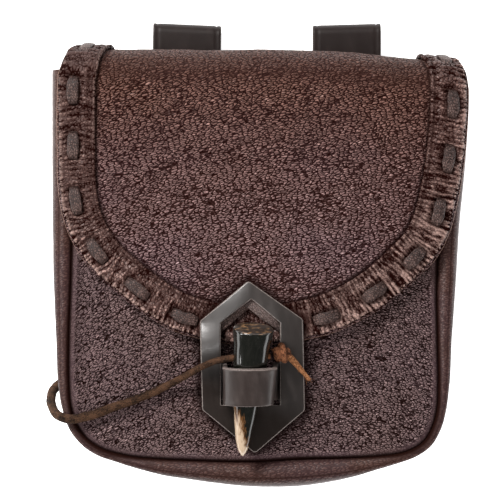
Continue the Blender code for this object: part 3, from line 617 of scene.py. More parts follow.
def slab(outer: Array, inner: Array, bulge: float, **extra: object) -> Shape:
    """Closed sheet between two grids, its rim rounded by a middle row.

    Args:
        outer: Outer face's points by row and column.
        inner: Inner face's points, in the same order.
        bulge: How far the rim's middle stands out past the edge.
        **extra: uv and marks of one face, used for both.

    Returns:
        The shape, with its rim in the second material slot.
    """
    rows, cols = outer.shape[:2]
    number = np.arange(rows * cols).reshape(rows, cols)
    edge = np.concatenate([
        number[0, :-1], number[:-1, -1], number[-1, :0:-1], number[:0:-1, 0]])
    within = np.concatenate([
        number[1, :-1], number[:-1, -2], number[-2, :0:-1], number[:0:-1, 1]])
    flat_outer, flat_inner = outer.reshape(-1, 3), inner.reshape(-1, 3)
    away = flat_outer[edge] - flat_outer[within]
    away /= np.maximum(np.linalg.norm(away, axis=1)[:, None], 1e-9)
    middle = (flat_outer[edge] + flat_inner[edge]) / 2 + bulge * away
    count = rows * cols
    upper, lower = edge, edge + count
    mid = 2 * count + np.arange(len(edge))
    turn = [np.roll(part, -1) for part in (upper, mid, lower)]
    quads = grid_faces(rows, cols)
    faces = np.vstack([
        quads, quads[:, ::-1] + count,
        np.column_stack([turn[0], upper, mid, turn[1]]),
        np.column_stack([turn[1], mid, lower, turn[2]])])
    slots = np.zeros(len(faces), np.int32)
    slots[2 * len(quads):] = 1
    spread = {}
    if extra.get("uv") is not None:
        uv = np.reshape(extra["uv"], (-1, 2))
        spread["uv"] = np.vstack([uv, uv, uv[edge]])
    marks = []
    for mark, values in extra.get("marks", ()):
        values = np.ravel(values)
        marks.append((mark, np.concatenate([values, values, values[edge]])))
    points = np.vstack([flat_outer, flat_inner, middle])
    return Shape(points, faces, marks=tuple(marks), slots=slots, **spread)


class Graph:
    """Short-hand for wiring one material's nodes."""

    def __init__(self, name: str) -> None:
        """Start a material with a Principled shader.

        Args:
            name: Material name.
        """
        self.material = bpy.data.materials.new(name)
        self.material.use_nodes = True
        self.nodes = self.material.node_tree.nodes
        self.links = self.material.node_tree.links
        self.shader = self.nodes["Principled BSDF"]

    def node(self, kind: str, inputs: dict, **settings: object) -> bpy.types.Node:
        """New node with its settings, input values and links.

        Args:
            kind: Node type without its ShaderNode prefix.
            inputs: Value or source socket for each input.
            **settings: Properties of the node.

        Returns:
            The node.
        """
        made = self.nodes.new("ShaderNode" + kind)
        for name, value in settings.items():
            setattr(made, name, value)
        for key, value in inputs.items():
            if isinstance(value, Socket):
                self.links.new(value, made.inputs[key])
            else:
                made.inputs[key].default_value = value
        return made

    def space(self, cell: Triple, turn: float = 0.0, uv: bool = False, bow: float = 0.0) -> Socket:
        """Pattern coordinates: Object or UV place, turned, then measured in cells.

        Args:
            cell: Cell size in millimetres along the three turned axes.
            turn: Turn about Z in degrees.
            uv: True to follow the piece's own UV map, which is in metres.
            bow: How much the rows bend down on both sides, for each square millimetre.

        Returns:
            The vector socket.
        """
        source = self.node("TexCoord", {}).outputs["UV" if uv else "Object"]
        if bow:
            x, y, z = self.node("SeparateXYZ", {"Vector": source}).outputs
            bent = self.math("MULTIPLY_ADD", self.math("MULTIPLY", x, x), bow / MM, y)
            source = self.node("CombineXYZ", {"X": x, "Y": bent, "Z": z}).outputs[0]
        size = tuple(length * MM for length in cell)
        return self.node("Mapping", {
            "Vector": source, "Rotation": (0.0, 0.0, math.radians(turn)),
            "Scale": size}, vector_type="TEXTURE").outputs[0]

    def noise(self, vector: Socket, detail: float = 2.0,
              roughness: float = 0.5, scale: float = 1.0) -> Socket:
        """Noise from 0 to 1 over pattern coordinates."""
        return self.node("TexNoise", {
            "Vector": vector, "Scale": scale, "Detail": detail,
            "Roughness": roughness}).outputs[0]

    def warp(self, vector: Socket, scale: float, amount: float) -> Socket:
        """Pattern coordinates moved about by a colour noise.

        Args:
            vector: Coordinates.
            scale: Noise cells for one pattern cell.
            amount: Largest move, in cells.

        Returns:
            The moved coordinates.
        """
        wander = self.node("TexNoise", {"Vector": vector, "Scale": scale, "Detail": 2.0})
        centred = self.node("VectorMath", {0: wander.outputs[1], 1: (0.5, 0.5, 0.5)},
                            operation="SUBTRACT")
        return self.node("VectorMath", {
            0: centred.outputs[0], 1: (amount, amount, amount), 2: vector},
            operation="MULTIPLY_ADD").outputs[0]

    def cells(self, vector: Socket, crease: float, random: float = 1.0) -> Socket:
        """Pebbles: distance to the cells' edges, eased from 0 at a crease to 1 on top.

        Args:
            vector: Pattern coordinates.
            crease: Distance from an edge at which a pebble is full.
            random: Irregularity of the cells, from 0 to 1.

        Returns:
            The value socket.
        """
        edge = self.node("TexVoronoi", {"Vector": vector, "Scale": 1.0, "Randomness": random},
                         feature="DISTANCE_TO_EDGE").outputs[0]
        return self.remap(edge, 0.0, crease)

    def remap(self, value: Socket, low: float, high: float,
              to_low: float = 0.0, to_high: float = 1.0) -> Socket:
        """Value eased from one range to another."""
        return self.node("MapRange", {
            "Value": value, "From Min": low, "From Max": high, "To Min": to_low,
            "To Max": to_high}, interpolation_type="SMOOTHSTEP").outputs[0]

    def math(self, operation: str, first: object, second: object = 0.0,
             third: object = 0.0) -> Socket:
        """One arithmetic step on values or sockets."""
        return self.node("Math", {0: first, 1: second, 2: third},
                         operation=operation).outputs[0]

    def times(self, first: object, second: object, plus: object = None) -> Socket:
        """Product of two values or sockets, with a third added where it is given."""
        if plus is None:
            return self.math("MULTIPLY", first, second)
        return self.math("MULTIPLY_ADD", first, second, plus)

    def rest(self, value: Socket) -> Socket:
        """One less the value."""
        return self.math("SUBTRACT", 1.0, value)

    def mix(self, share: object, first: object, second: object) -> Socket:
        """Colour between two, by a share from 0 to 1."""
        inputs = {0: share, 6: opaque(first), 7: opaque(second)}
        return self.node("Mix", inputs, data_type="RGBA").outputs[2]

    def along(self) -> Socket:
        """The first axis of the piece's UV map."""
        place = self.node("TexCoord", {}).outputs["UV"]
        return self.node("SeparateXYZ", {"Vector": place}).outputs[0]

    def mark(self, name: str) -> Socket:
        """The piece's own point attribute."""
        return self.node("Attribute", {}, attribute_name=name).outputs["Fac"]

    def bump(self, height: Socket, strength: object, depth: float,
             under: Socket | None = None) -> Socket:
        """Normal from a height map.

        Args:
            height: Height, 0 to 1.
            strength: Share of the effect, from 0 to 1.
            depth: Height's full range, in millimetres.
            under: Normal that this one adds to.

        Returns:
            The normal socket.
        """
        inputs = {"Height": height, "Strength": strength, "Distance": depth * MM}
        if under is not None:
            inputs["Normal"] = under
        return self.node("Bump", inputs).outputs[0]

    def finish(self, **inputs: object) -> bpy.types.Material:
        """Set or link the shader's sockets.

        Args:
            **inputs: Socket name, its spaces as underscores, and value or source.

        Returns:
            The material.
        """
        for name, value in inputs.items():
            socket = self.shader.inputs[name.replace("_", " ")]
            if isinstance(value, Socket):
                self.links.new(value, socket)
            else:
                socket.default_value = opaque(value)
        return self.material


def opaque(value: object) -> object:
    """A colour of three numbers gets its alpha; anything else stays as it is."""
    if isinstance(value, tuple) and len(value) == 3:
        return (*value, 1.0)
    return value


class Finish:
    """Base of the finishes: each makes its material once and keeps it.

    Lengths are in millimetres. A pair of numbers is the range of a noise or height
    over which a share rises from 0 to 1.
    """

    made: dict = {}

    def material(self) -> bpy.types.Material:
        """The finish's material, made at its first use."""
        if self not in Finish.made:
            Finish.made[self] = self.paint()
        return Finish.made[self]

    def paint(self) -> bpy.types.Material:
        """Make the material."""
        raise NotImplementedError


@dataclass(frozen=True)
class GrainedLeather(Finish):
    """Pebbled leather: flattened cells with dark creases, fine pores and light tops.

    The pebbles lie in slanting rows and fade where the piece's "smooth" mark is 1.
    The "crease" mark paints shade onto a place. The ridge colour on the pebbles'
    tops is a painted highlight and the crease colour in the low places painted shade.
    Parts are the shares of pebbles, creases and pores in the height. The upper end of
    the piece, from its top on, is browner.
    """

    name: str = "grained_leather"
    # ridge and ridge_up: painted highlight on the pebbles' tops
    ridge: Colour = (0.490, 0.318, 0.312)
    ridge_up: Colour = (0.365, 0.188, 0.142)
    body: Colour = (0.070, 0.0288, 0.0260)
    violet: Colour = (0.069, 0.0330, 0.0385)
    brown: Colour = (0.062, 0.0218, 0.0121)
    # painted shade in the creases and under the crease mark
    crease: Colour = (0.009, 0.0022, 0.0017)
    cell: Triple = (2.35, 0.86, 1.7)
    fine_cell: Triple = (4.4, 1.5, 2.5)
    streak: Triple = (1.2, 0.60, 0.9)
    cloud: Triple = (46.0, 38.0, 40.0)
    turn: float = 16.0
    cross: float = -18.0
    bow: float = 0.0006
    bend: float = 0.30
    random: float = 0.9
    rim: float = 0.34
    thin: float = 0.05
    lip: float = 0.75
    depth: float = 1.0
    roughness: float = 0.42
    shine: float = 0.32
    low_rough: float = 0.35
    parts: Triple = (0.78, 0.06, 0.14)
    tops: Pair = (0.34, 0.72)
    lows: Pair = (0.07, 0.42)
    inner: Pair = (0.55, 1.0)
    drift: Pair = (0.38, 0.62)
    brown_share: float = 0.7
    top: float = 60.0
    fade: float = 60.0

    def lines(self, g: Graph, turn: float) -> Socket:
        """Thin winding creases, 0 where a stretched noise crosses its middle, 1 between."""
        noise = g.noise(g.warp(g.space(self.fine_cell, turn, bow=self.bow), 0.6, 0.8), 1.0)
        return g.remap(g.math("ABSOLUTE", g.math("SUBTRACT", noise, 0.5)), 0.0, self.thin)

    def paint(self) -> bpy.types.Material:
        """Wire pebbles, creases, hue drift, painted highlights and painted shade.

        Returns:
            The material.
        """
        g = Graph(self.name)
        rough_share = g.rest(g.mark("smooth"))
        place = g.space(self.cell, self.turn, bow=self.bow)
        pebbles = g.cells(g.warp(place, self.bend, 1.1), self.rim, self.random)
        other = self.lines(g, self.turn + self.cross)
        creases = g.math("MINIMUM", self.lines(g, self.turn), other)
        fine = g.noise(g.warp(g.space(self.streak, self.turn), 0.4, 1.0), 1.0)
        height = g.times(pebbles, self.parts[0], g.times(creases, self.parts[1]))
        height = g.times(fine, self.parts[2], height)
        drift = g.remap(g.noise(g.space(self.cloud), 2.0, 0.55), *self.drift)
        body = g.mix(drift, self.body, self.violet)
        up = g.node("SeparateXYZ", {"Vector": g.space((1.0, 1.0, 1.0))}).outputs[1]
        upper = g.remap(up, self.top - self.fade, self.top + self.fade / 2)
        body = g.mix(g.times(upper, self.brown_share), body, self.brown)
        ridge = g.mix(upper, self.ridge, self.ridge_up)
        # painted highlight: the ridge colour on the pebbles' tops
        tops = g.times(g.remap(height, *self.tops), g.times(rough_share, 0.8, 0.12))
        tops = g.times(tops, g.times(g.remap(pebbles, *self.inner), -self.lip, 1.0))
        # painted shade: the crease colour in the low places and under the crease mark
        low = g.times(g.rest(g.remap(height, *self.lows)), rough_share)
        low = g.math("MAXIMUM", low, g.mark("crease"))
        colour = g.mix(low, g.mix(tops, body, ridge), self.crease)
        normal = g.bump(height, g.times(rough_share, 0.85, 0.15), self.depth)
        return g.finish(Base_Color=colour, Normal=normal,
                        Roughness=g.times(low, self.low_rough, self.roughness),
                        Specular_IOR_Level=g.times(low, -self.shine, self.shine))


@dataclass(frozen=True)
class WrinkledLeather(Finish):
    """The border's leather: fine wrinkles across its run, with painted highlights on their tops.

    It follows the piece's UV map: first along the border, then across it. The
    "relief" mark is the modelled wrinkles' height, "crease" paints shade onto a place,
    "edge" lightens the rim with wear along the outer edge and painted highlights, and
    "smooth" takes the painted highlights on the tops away. The ridge colour on the tops
    is a painted highlight and the crease colour in the low places painted shade. Parts
    are the shares of wrinkles, pebbles, pores and modelled wrinkles in the height.
    """

    name: str = "border_leather"
    # painted highlight on the wrinkles' tops
    ridge: Colour = (0.340, 0.212, 0.182)
    body: Colour = (0.068, 0.0315, 0.0255)
    # the rim's light: wear along the outer edge and painted highlights
    rim: Colour = (0.520, 0.350, 0.300)
    # painted shade in the low places and under the crease mark
    crease: Colour = (0.010, 0.0022, 0.0016)
    wrinkle: Triple = (1.5, 4.5, 1.0)
    pebble: Triple = (1.2, 1.6, 1.0)
    pore: Triple = (0.6, 0.8, 0.7)
    turn: float = 20.0
    parts: tuple[float, float, float, float] = (0.14, 0.36, 0.14, 0.44)
    tops: Pair = (0.58, 1.00)
    lows: Pair = (0.14, 0.60)
    depth: float = 0.60
    roughness: float = 0.42
    shine: float = 0.40
    low_rough: float = 0.35
    strength: float = 0.9

    def paint(self) -> bpy.types.Material:
        """Wire wrinkles, pebbles, painted highlights on the tops and painted shade.

        Returns:
            The material.
        """
        g = Graph(self.name)
        wrinkles = g.noise(g.warp(g.space(self.wrinkle, uv=True), 0.5, 1.0), 1.0)
        away = g.math("ABSOLUTE", g.math("SUBTRACT", wrinkles, 0.5))
        pebbles = g.cells(g.warp(g.space(self.pebble, self.turn, uv=True), 0.7, 1.0), 0.24)
        fine = g.noise(g.space(self.pore, uv=True), 1.0)
        height = g.times(g.remap(away, 0.0, 0.10), self.parts[0], g.times(pebbles, self.parts[1]))
        height = g.times(fine, self.parts[2], height)
        height = g.times(g.mark("relief"), self.parts[3], height)
        # painted highlight on the tops, less where the smooth mark lies
        tops = g.times(g.times(g.mark("smooth"), -0.7, 1.0), g.remap(height, *self.tops))
        colour = g.mix(g.mark("edge"), g.mix(tops, self.body, self.ridge), self.rim)
        # painted shade in the low places and under the crease mark
        low = g.math("MAXIMUM", g.rest(g.remap(height, *self.lows)), g.mark("crease"))
        return g.finish(Base_Color=g.mix(low, colour, self.crease),
                        Normal=g.bump(height, self.strength, self.depth),
                        Roughness=g.times(low, self.low_rough, self.roughness),
                        Specular_IOR_Level=g.times(low, -self.shine, self.shine))


@dataclass(frozen=True)
class SmoothLeather(Finish):
    """Smooth finished leather: satin face, fine pores, faint scuffs.

    The "dull_and_shade" mark takes the sheen and the lighter scuffs away: painted shade
    that darkens the face there.
    """

    name: str
    body: Colour
    scuff: Colour
    roughness: float = 0.40
    pore: float = 0.55
    depth: float = 0.05
    cloud: Triple = (16.0, 13.0, 14.0)
    streak: Triple = (3.0, 14.0, 6.0)
    turn: float = 8.0
    cloud_wear: Pair = (0.35, 0.75)
    streak_wear: Pair = (0.3, 0.75)
    gloss_range: float = 0.16
    swell: float = 0.35
    specular: float = 0.5

    def paint(self) -> bpy.types.Material:
        """Wire pores, streaks and scuffs.

        Returns:
            The material.
        """
        g = Graph(self.name)
        pores = g.noise(g.space((self.pore,) * 3), 3.0, 0.65)
        cloud = g.noise(g.space(self.cloud), 3.0, 0.6)
        streaks = g.noise(g.warp(g.space(self.streak, self.turn), 0.6, 0.5), 3.0, 0.6)
        wear = g.times(g.remap(cloud, *self.cloud_wear), g.remap(streaks, *self.streak_wear))
        colour = g.mix(g.times(pores, 0.25, wear), self.body, self.scuff)
        gloss = g.times(streaks, self.gloss_range, self.roughness - self.gloss_range / 2)
        normal = g.bump(pores, 0.7, self.depth, g.bump(cloud, 0.5, self.swell))
        # painted shade: the dull_and_shade mark turns the colour to the plain body and takes the
        # sheen away
        return g.finish(
            Base_Color=g.mix(g.times(g.mark("dull_and_shade"), 0.6), colour, self.body),
            Roughness=gloss, Normal=normal,
            Specular_IOR_Level=g.times(g.mark("dull_and_shade"), -0.85 * self.specular, self.specular))


@dataclass(frozen=True)
class CutEdge(Finish):
    """A cut leather edge: pale fibres in layers along the sheet."""

    name: str
    pale: Colour
    deep: Colour
    fibre: Triple = (0.9, 0.9, 0.3)
    pale_range: Pair = (0.25, 0.75)
    depth: float = 0.12
    roughness: float = 0.62

    def paint(self) -> bpy.types.Material:
        """Wire the fibres.

        Returns:
            The material.
        """
        g = Graph(self.name)
        fibres = g.noise(g.space(self.fibre), 3.0, 0.7)
        colour = g.mix(g.remap(fibres, *self.pale_range), self.deep, self.pale)
        return g.finish(Base_Color=colour, Roughness=self.roughness,
                        Normal=g.bump(fibres, 0.6, self.depth))


@dataclass(frozen=True)
class Thong(Finish):
    """Lacing thong: coarse smooth leather, paler at one end of each stitch.

    The piece's "end" mark is 1 at the pale end. It follows the UV map: first along
    the thong, then across it.
    """

    name: str
    body: Colour
    pale: Colour
    crease: Colour
    grain: Triple = (0.9, 0.55, 0.8)
    pebble: Triple = (1.1, 0.9, 1.0)
    pale_range: Pair = (0.2, 0.7)
    tops: Pair = (0.45, 0.8)
    lows: Pair = (0.15, 0.45)
    depth: float = 0.40
    roughness: float = 0.46
    shine: float = 0.3

    def paint(self) -> bpy.types.Material:
        """Wire the grain and the pale ends.

        Returns:
            The material.
        """
        g = Graph(self.name)
        grain = g.noise(g.warp(g.space(self.grain, uv=True), 0.8, 0.8), 3.0, 0.65)
        pebbles = g.cells(g.warp(g.space(self.pebble, uv=True), 0.9, 0.7), 0.3)
        height = g.times(pebbles, 0.5, g.times(grain, 0.5))
        pale = g.times(g.mark("end"), g.remap(grain, *self.pale_range))
        tops = g.times(g.remap(height, *self.tops), 0.42, g.times(pale, 0.45))
        low = g.rest(g.remap(height, *self.lows))
        return g.finish(Base_Color=g.mix(low, g.mix(tops, self.body, self.pale), self.crease),
                        Roughness=self.roughness, Normal=g.bump(height, 0.9, self.depth),
                        Specular_IOR_Level=self.shine)


@dataclass(frozen=True)
class PolishedHorn(Finish):
    """Polished horn: near black, clearing through amber streaks to a cream tip.

    The UV map's first axis runs from the cut end, 0, to the tip, 1. The "left" mark is
    1 on the left side, where the horn clears first, and -1 on the right. The "cut"
    mark is 1 on the sawn face.
    """

    name: str = "polished_horn"
    black: Colour = (0.0045, 0.005, 0.0035)
    green: Colour = (0.0095, 0.0095, 0.0075)
    amber: Colour = (0.110, 0.046, 0.014)
    cream: Colour = (0.520, 0.395, 0.280)
    sawn: Colour = (0.018, 0.012, 0.009)
    gold: Colour = (0.210, 0.118, 0.055)
    streak: Triple = (0.85, 26.0, 1.2)
    wide_streak: Triple = (2.6, 40.0, 3.5)
    lean: float = -5.0
    ring: Triple = (5.5, 1.1, 2.0)
    ring_turn: float = 24.0
    tip: Pair = (0.90, 0.97)
    to_green: Pair = (0.35, 0.75)
    to_amber: Pair = (0.96, 1.07)
    to_cream: Pair = (1.05, 1.19)
    to_gold: Pair = (0.50, 0.62)
    depth: float = 0.05
    roughness: float = 0.14
    sawn_rough: float = 0.22
    coat: float = 0.5
    coat_rough: float = 0.06

    def paint(self) -> bpy.types.Material:
        """Wire lengthwise streaks, the clearing tip and the sawn face.

        Returns:
            The material.
        """
        g = Graph(self.name)
        along = g.along()
        streaks = g.noise(g.space(self.streak, self.lean), 2.0, 0.55)
        wide = g.noise(g.space(self.wide_streak, self.lean))
        side = g.times(g.mark("left"), 0.20, along)
        reach = g.times(streaks, 0.34, g.times(wide, 0.20, side))
        reach = g.math("ADD", reach, g.remap(along, *self.tip, 0.0, 0.5))
        body = g.mix(g.remap(streaks, *self.to_green), self.black, self.green)
        colour = g.mix(g.remap(reach, *self.to_amber), body, self.amber)
        colour = g.mix(g.remap(reach, *self.to_cream), colour, self.cream)
        rings = g.noise(g.space(self.ring, self.ring_turn), 3.0, 0.6)
        sawn = g.mix(g.remap(rings, *self.to_gold), self.sawn, self.gold)
        return g.finish(Base_Color=g.mix(g.mark("cut"), colour, sawn),
                        Roughness=g.times(g.mark("cut"), self.sawn_rough, self.roughness),
                        Normal=g.bump(streaks, 0.3, self.depth),
                        Coat_Weight=self.coat, Coat_Roughness=self.coat_rough)


@dataclass(frozen=True)
class Suede(Finish):
    """Napped cord: short fibres, mottled, with a soft sheen.

    It follows the UV map: first along the cord, then round it. From the length
    "warm_from", in metres, it turns to a second, warmer nap.
    """

    name: str
    nap: Colour
    deep: Colour
    warm: Colour = (0.210, 0.086, 0.040)
    warm_from: float = 10.0
    warm_over: float = 0.03
    fibre: Triple = (0.8, 0.35, 0.5)
    blot: Triple = (4.5, 3.5, 4.0)
    light: Pair = (0.50, 0.70)
    depth: float = 0.40
    roughness: float = 0.92
    shine: float = 0.15

    def paint(self) -> bpy.types.Material:
        """Wire the fibres and the mottling.

        Returns:
            The material.
        """
        g = Graph(self.name)
        fibres = g.noise(g.warp(g.space(self.fibre, uv=True), 0.9, 0.8), 4.0, 0.7)
        blots = g.noise(g.space(self.blot), 3.0, 0.6)
        share = g.times(fibres, 0.75, g.times(blots, 0.45))
        along = g.along()
        warm = g.remap(along, self.warm_from, self.warm_from + self.warm_over)
        nap = g.mix(warm, self.nap, self.warm)
        return g.finish(Base_Color=g.mix(g.remap(share, *self.light), self.deep, nap),
                        Roughness=self.roughness, Normal=g.bump(fibres, 0.9, self.depth),
                        Specular_IOR_Level=self.shine)


@dataclass(frozen=True)
class Backdrop(Finish):
    """Plain pale floor."""

    name: str = "backdrop"
    tone: float = 0.90
    glow: float = 0.95
    roughness: float = 0.9
    shine: float = 0.1

    def paint(self) -> bpy.types.Material:
        """One pale matt colour that glows like a light table."""
        return Graph(self.name).finish(
            Base_Color=(self.tone,) * 3, Roughness=self.roughness, Specular_IOR_Level=self.shine,
            Emission_Color=(1.0, 1.0, 1.0), Emission_Strength=self.glow)


# Ridge colours are painted highlights on the tops, crease colours painted shade in the low places.
GRAIN = GrainedLeather()
PANEL_FACE = GrainedLeather(
    name="panel_leather", ridge=(0.450, 0.307, 0.297), body=(0.072, 0.0405, 0.0395),
    violet=(0.074, 0.0430, 0.0480), brown=(0.060, 0.0290, 0.0235),
    crease=(0.009, 0.0035, 0.0028), cell=(1.85, 0.89, 1.4), fine_cell=(7.0, 2.4, 2.5),
    turn=14.0, cross=-14.0, bow=0.0029, lip=0.8, thin=0.05,
    parts=(0.74, 0.20, 0.14), tops=(0.43, 0.78), lows=(0.20, 0.50))
BORDER = WrinkledLeather()
GUSSET_FACE = GrainedLeather(
    name="gusset_leather", ridge=(0.165, 0.092, 0.076), ridge_up=(0.165, 0.092, 0.076),
    body=(0.040, 0.0165, 0.0125),
    violet=(0.040, 0.018, 0.018), brown=(0.052, 0.023, 0.016), crease=(0.010, 0.003, 0.002),
    depth=0.35, roughness=0.44, lip=0.3)
PLATE_FACE = SmoothLeather(
    "smooth_black_leather", (0.013, 0.0095, 0.008), (0.036, 0.028, 0.025), roughness=0.38,
    specular=0.9)
KEEPER_FACE = SmoothLeather(
    "keeper_leather", (0.022, 0.015, 0.013), (0.066, 0.050, 0.045), roughness=0.36,
    specular=0.7)
STRAP_FACE = SmoothLeather(
    "strap_leather", (0.011, 0.0062, 0.0055), (0.022, 0.014, 0.0125), roughness=0.5,
    specular=0.25)
LACE_FACE = Thong(
    "lace_leather", (0.040, 0.022, 0.019), (0.170, 0.108, 0.094), (0.005, 0.0025, 0.002))
TIE_FACE = Thong(
    "tie_leather", (0.120, 0.074, 0.064), (0.360, 0.250, 0.225), (0.014, 0.007, 0.005))
TIE_SMOOTH = Thong(
    "tie_smooth_leather", (0.092, 0.064, 0.058), (0.170, 0.125, 0.115),
    (0.022, 0.014, 0.012), roughness=0.42)
BROWN_EDGE = CutEdge("cut_edge_brown", (0.300, 0.175, 0.125), (0.100, 0.048, 0.032))
GREY_EDGE = CutEdge("cut_edge_grey", (0.300, 0.260, 0.240), (0.060, 0.045, 0.040))
KEEPER_EDGE = CutEdge("cut_edge_keeper", (0.220, 0.180, 0.165), (0.050, 0.036, 0.031))
STRAP_EDGE = CutEdge("cut_edge_strap", (0.060, 0.044, 0.038), (0.014, 0.009, 0.008))
HORN_FACE = PolishedHorn()
CORD_FACE = Suede("suede_cord", (0.086, 0.044, 0.025), (0.005, 0.0025, 0.0015), warm_from=0.13)
KNOT_FACE = Suede("suede_knot", (0.245, 0.098, 0.048), (0.020, 0.007, 0.004))
FRAY_FACE = Suede("frayed_suede", (0.420, 0.190, 0.085), (0.080, 0.028, 0.012))


@dataclass(frozen=True)
class PouchForm:
    """The body's full shape: seam, front and back heights. Lengths in millimetres."""

    seam_half: float = 85.7
    top_y: float = 92.3
    height: float = 197.6
    back_seam_z: float = 13.6
    depth_top: float = 22.0
    depth_bottom: float = 28.0
    bulge: float = 8.6
    gap: float = 0.3
    allowance: float = 4.0
    roll_width: float = 3.8
    roll_rise: float = 2.4
    groove: float = 1.5
    mouth_y: float = 74.0
    crown_rise: float = 5.6
    crown_at_mouth: float = 0.35
    crown_run: float = 0.45
    crown_reach: float = 62.0
    crown_dip: float = 0.2
    back_reach: float = 30.0
    back_stations: tuple[float, ...] = (-22.0, -8.0, 24.0, 35.7)
    back_heights: tuple[float, ...] = (0.0, 2.5, 2.5, 11.2)

    @cached_property
    def seam(self) -> Array:
        """The seam's dense curve: plan place and the gusset's bulge there."""
        rows = [(across * self.seam_half, self.top_y - down * self.height, bulge * self.bulge)
                for across, down, bulge in SEAM_ROWS]
        return smooth_curve(rows, 420)

    @cached_property
    def seam_plan(self) -> Array:
        """The seam in plan, carried on upwards past the mouth at both ends."""
        up = (0.0, self.height / 4)
        curve = self.seam[:, :2]
        return np.vstack([curve[:1] + up, curve[::3], curve[-1:], curve[-1:] + up])

    def seam_distance(self, x: Array, y: Array) -> Array:
        """Distance to the nearest stretch of the seam, positive inside it.

        Args:
            x: Places across.
            y: Places up.

        Returns:
            Signed distances, in the same form as the places.
        """
        starts = self.seam_plan[:-1]
        spans = np.diff(self.seam_plan, axis=0)
        lengths = (spans * spans).sum(-1)
        places = np.column_stack([np.ravel(x), np.ravel(y)])
        found = []
        for part in np.array_split(places, len(places) // 4000 + 1):
            offset = part[:, None] - starts[None]
            share = np.clip((offset * spans).sum(-1) / lengths, 0, 1)
            far = np.linalg.norm(offset - share[..., None] * spans, axis=-1)
            near = far.argmin(axis=1)
            pick = np.arange(len(part))
            near_span, near_offset = spans[near], offset[pick, near]
            side = near_span[:, 0] * near_offset[:, 1] - near_span[:, 1] * near_offset[:, 0]
            found.append(far[pick, near] * np.sign(side))
        return np.concatenate(found).reshape(np.shape(x))

    def seam_height(self, y: Array) -> Array:
        """Height of the front seam, which rises evenly from the mouth to the bottom."""
        down = np.clip((self.top_y - y) / self.height, 0, 1)
        return self.back_seam_z + self.depth_top + (self.depth_bottom - self.depth_top) * down

    def crown(self, y: Array, inside: Array) -> Array:
        """Rise of the front above its rolled edge: a quarter sine over the reach.

        Args:
            y: Places up.
            inside: Distances inside the seam.

        Returns:
            Heights.
        """
        down = (self.top_y - y) / self.height
        taper = self.crown_at_mouth + (1 - self.crown_at_mouth) * ease(down / self.crown_run)
        share = np.clip(inside / self.crown_reach, -self.crown_dip, 1)
        return self.crown_rise * taper * np.sin(math.pi / 2 * share)

    def front_form(self, x: Array, y: Array) -> Array:
        """Outer height of the front without its roll and hollows."""
        return self.seam_height(y) + self.roll_rise + self.crown(y, self.seam_distance(x, y))

    def front_surface(self, x: Array, y: Array) -> Array:
        """Outer height of the front with its soft hollows, each a bell in plan.

        Args:
            x: Places across.
            y: Places up.

        Returns:
            Heights.
        """
        height = self.front_form(x, y)
        for across, down, size, depth in DENT_ROWS:
            reach = size * self.seam_half
            far = np.hypot(x - across * self.seam_half, y - self.top_y + down * self.height)
            height = height - depth * self.crown_rise * bell(far, reach)
        return height

    def back_surface(self, x: Array, y: Array) -> Array:
        """Outer height of the back: flat on the floor, then up to the folded top.

        It falls from the seam to its middle by a quarter sine over the back's reach.

        Args:
            x: Places across.
            y: Places up.

        Returns:
            Heights.
        """
        sag = self.back_seam_z - np.interp(y, self.back_stations, self.back_heights)
        inside = np.clip(self.seam_distance(x, y) / self.back_reach, 0, 1)
        fall = (sag - self.roll_rise) * np.sin(math.pi / 2 * inside)
        return np.maximum(self.back_seam_z - self.roll_rise - fall, 0.0)


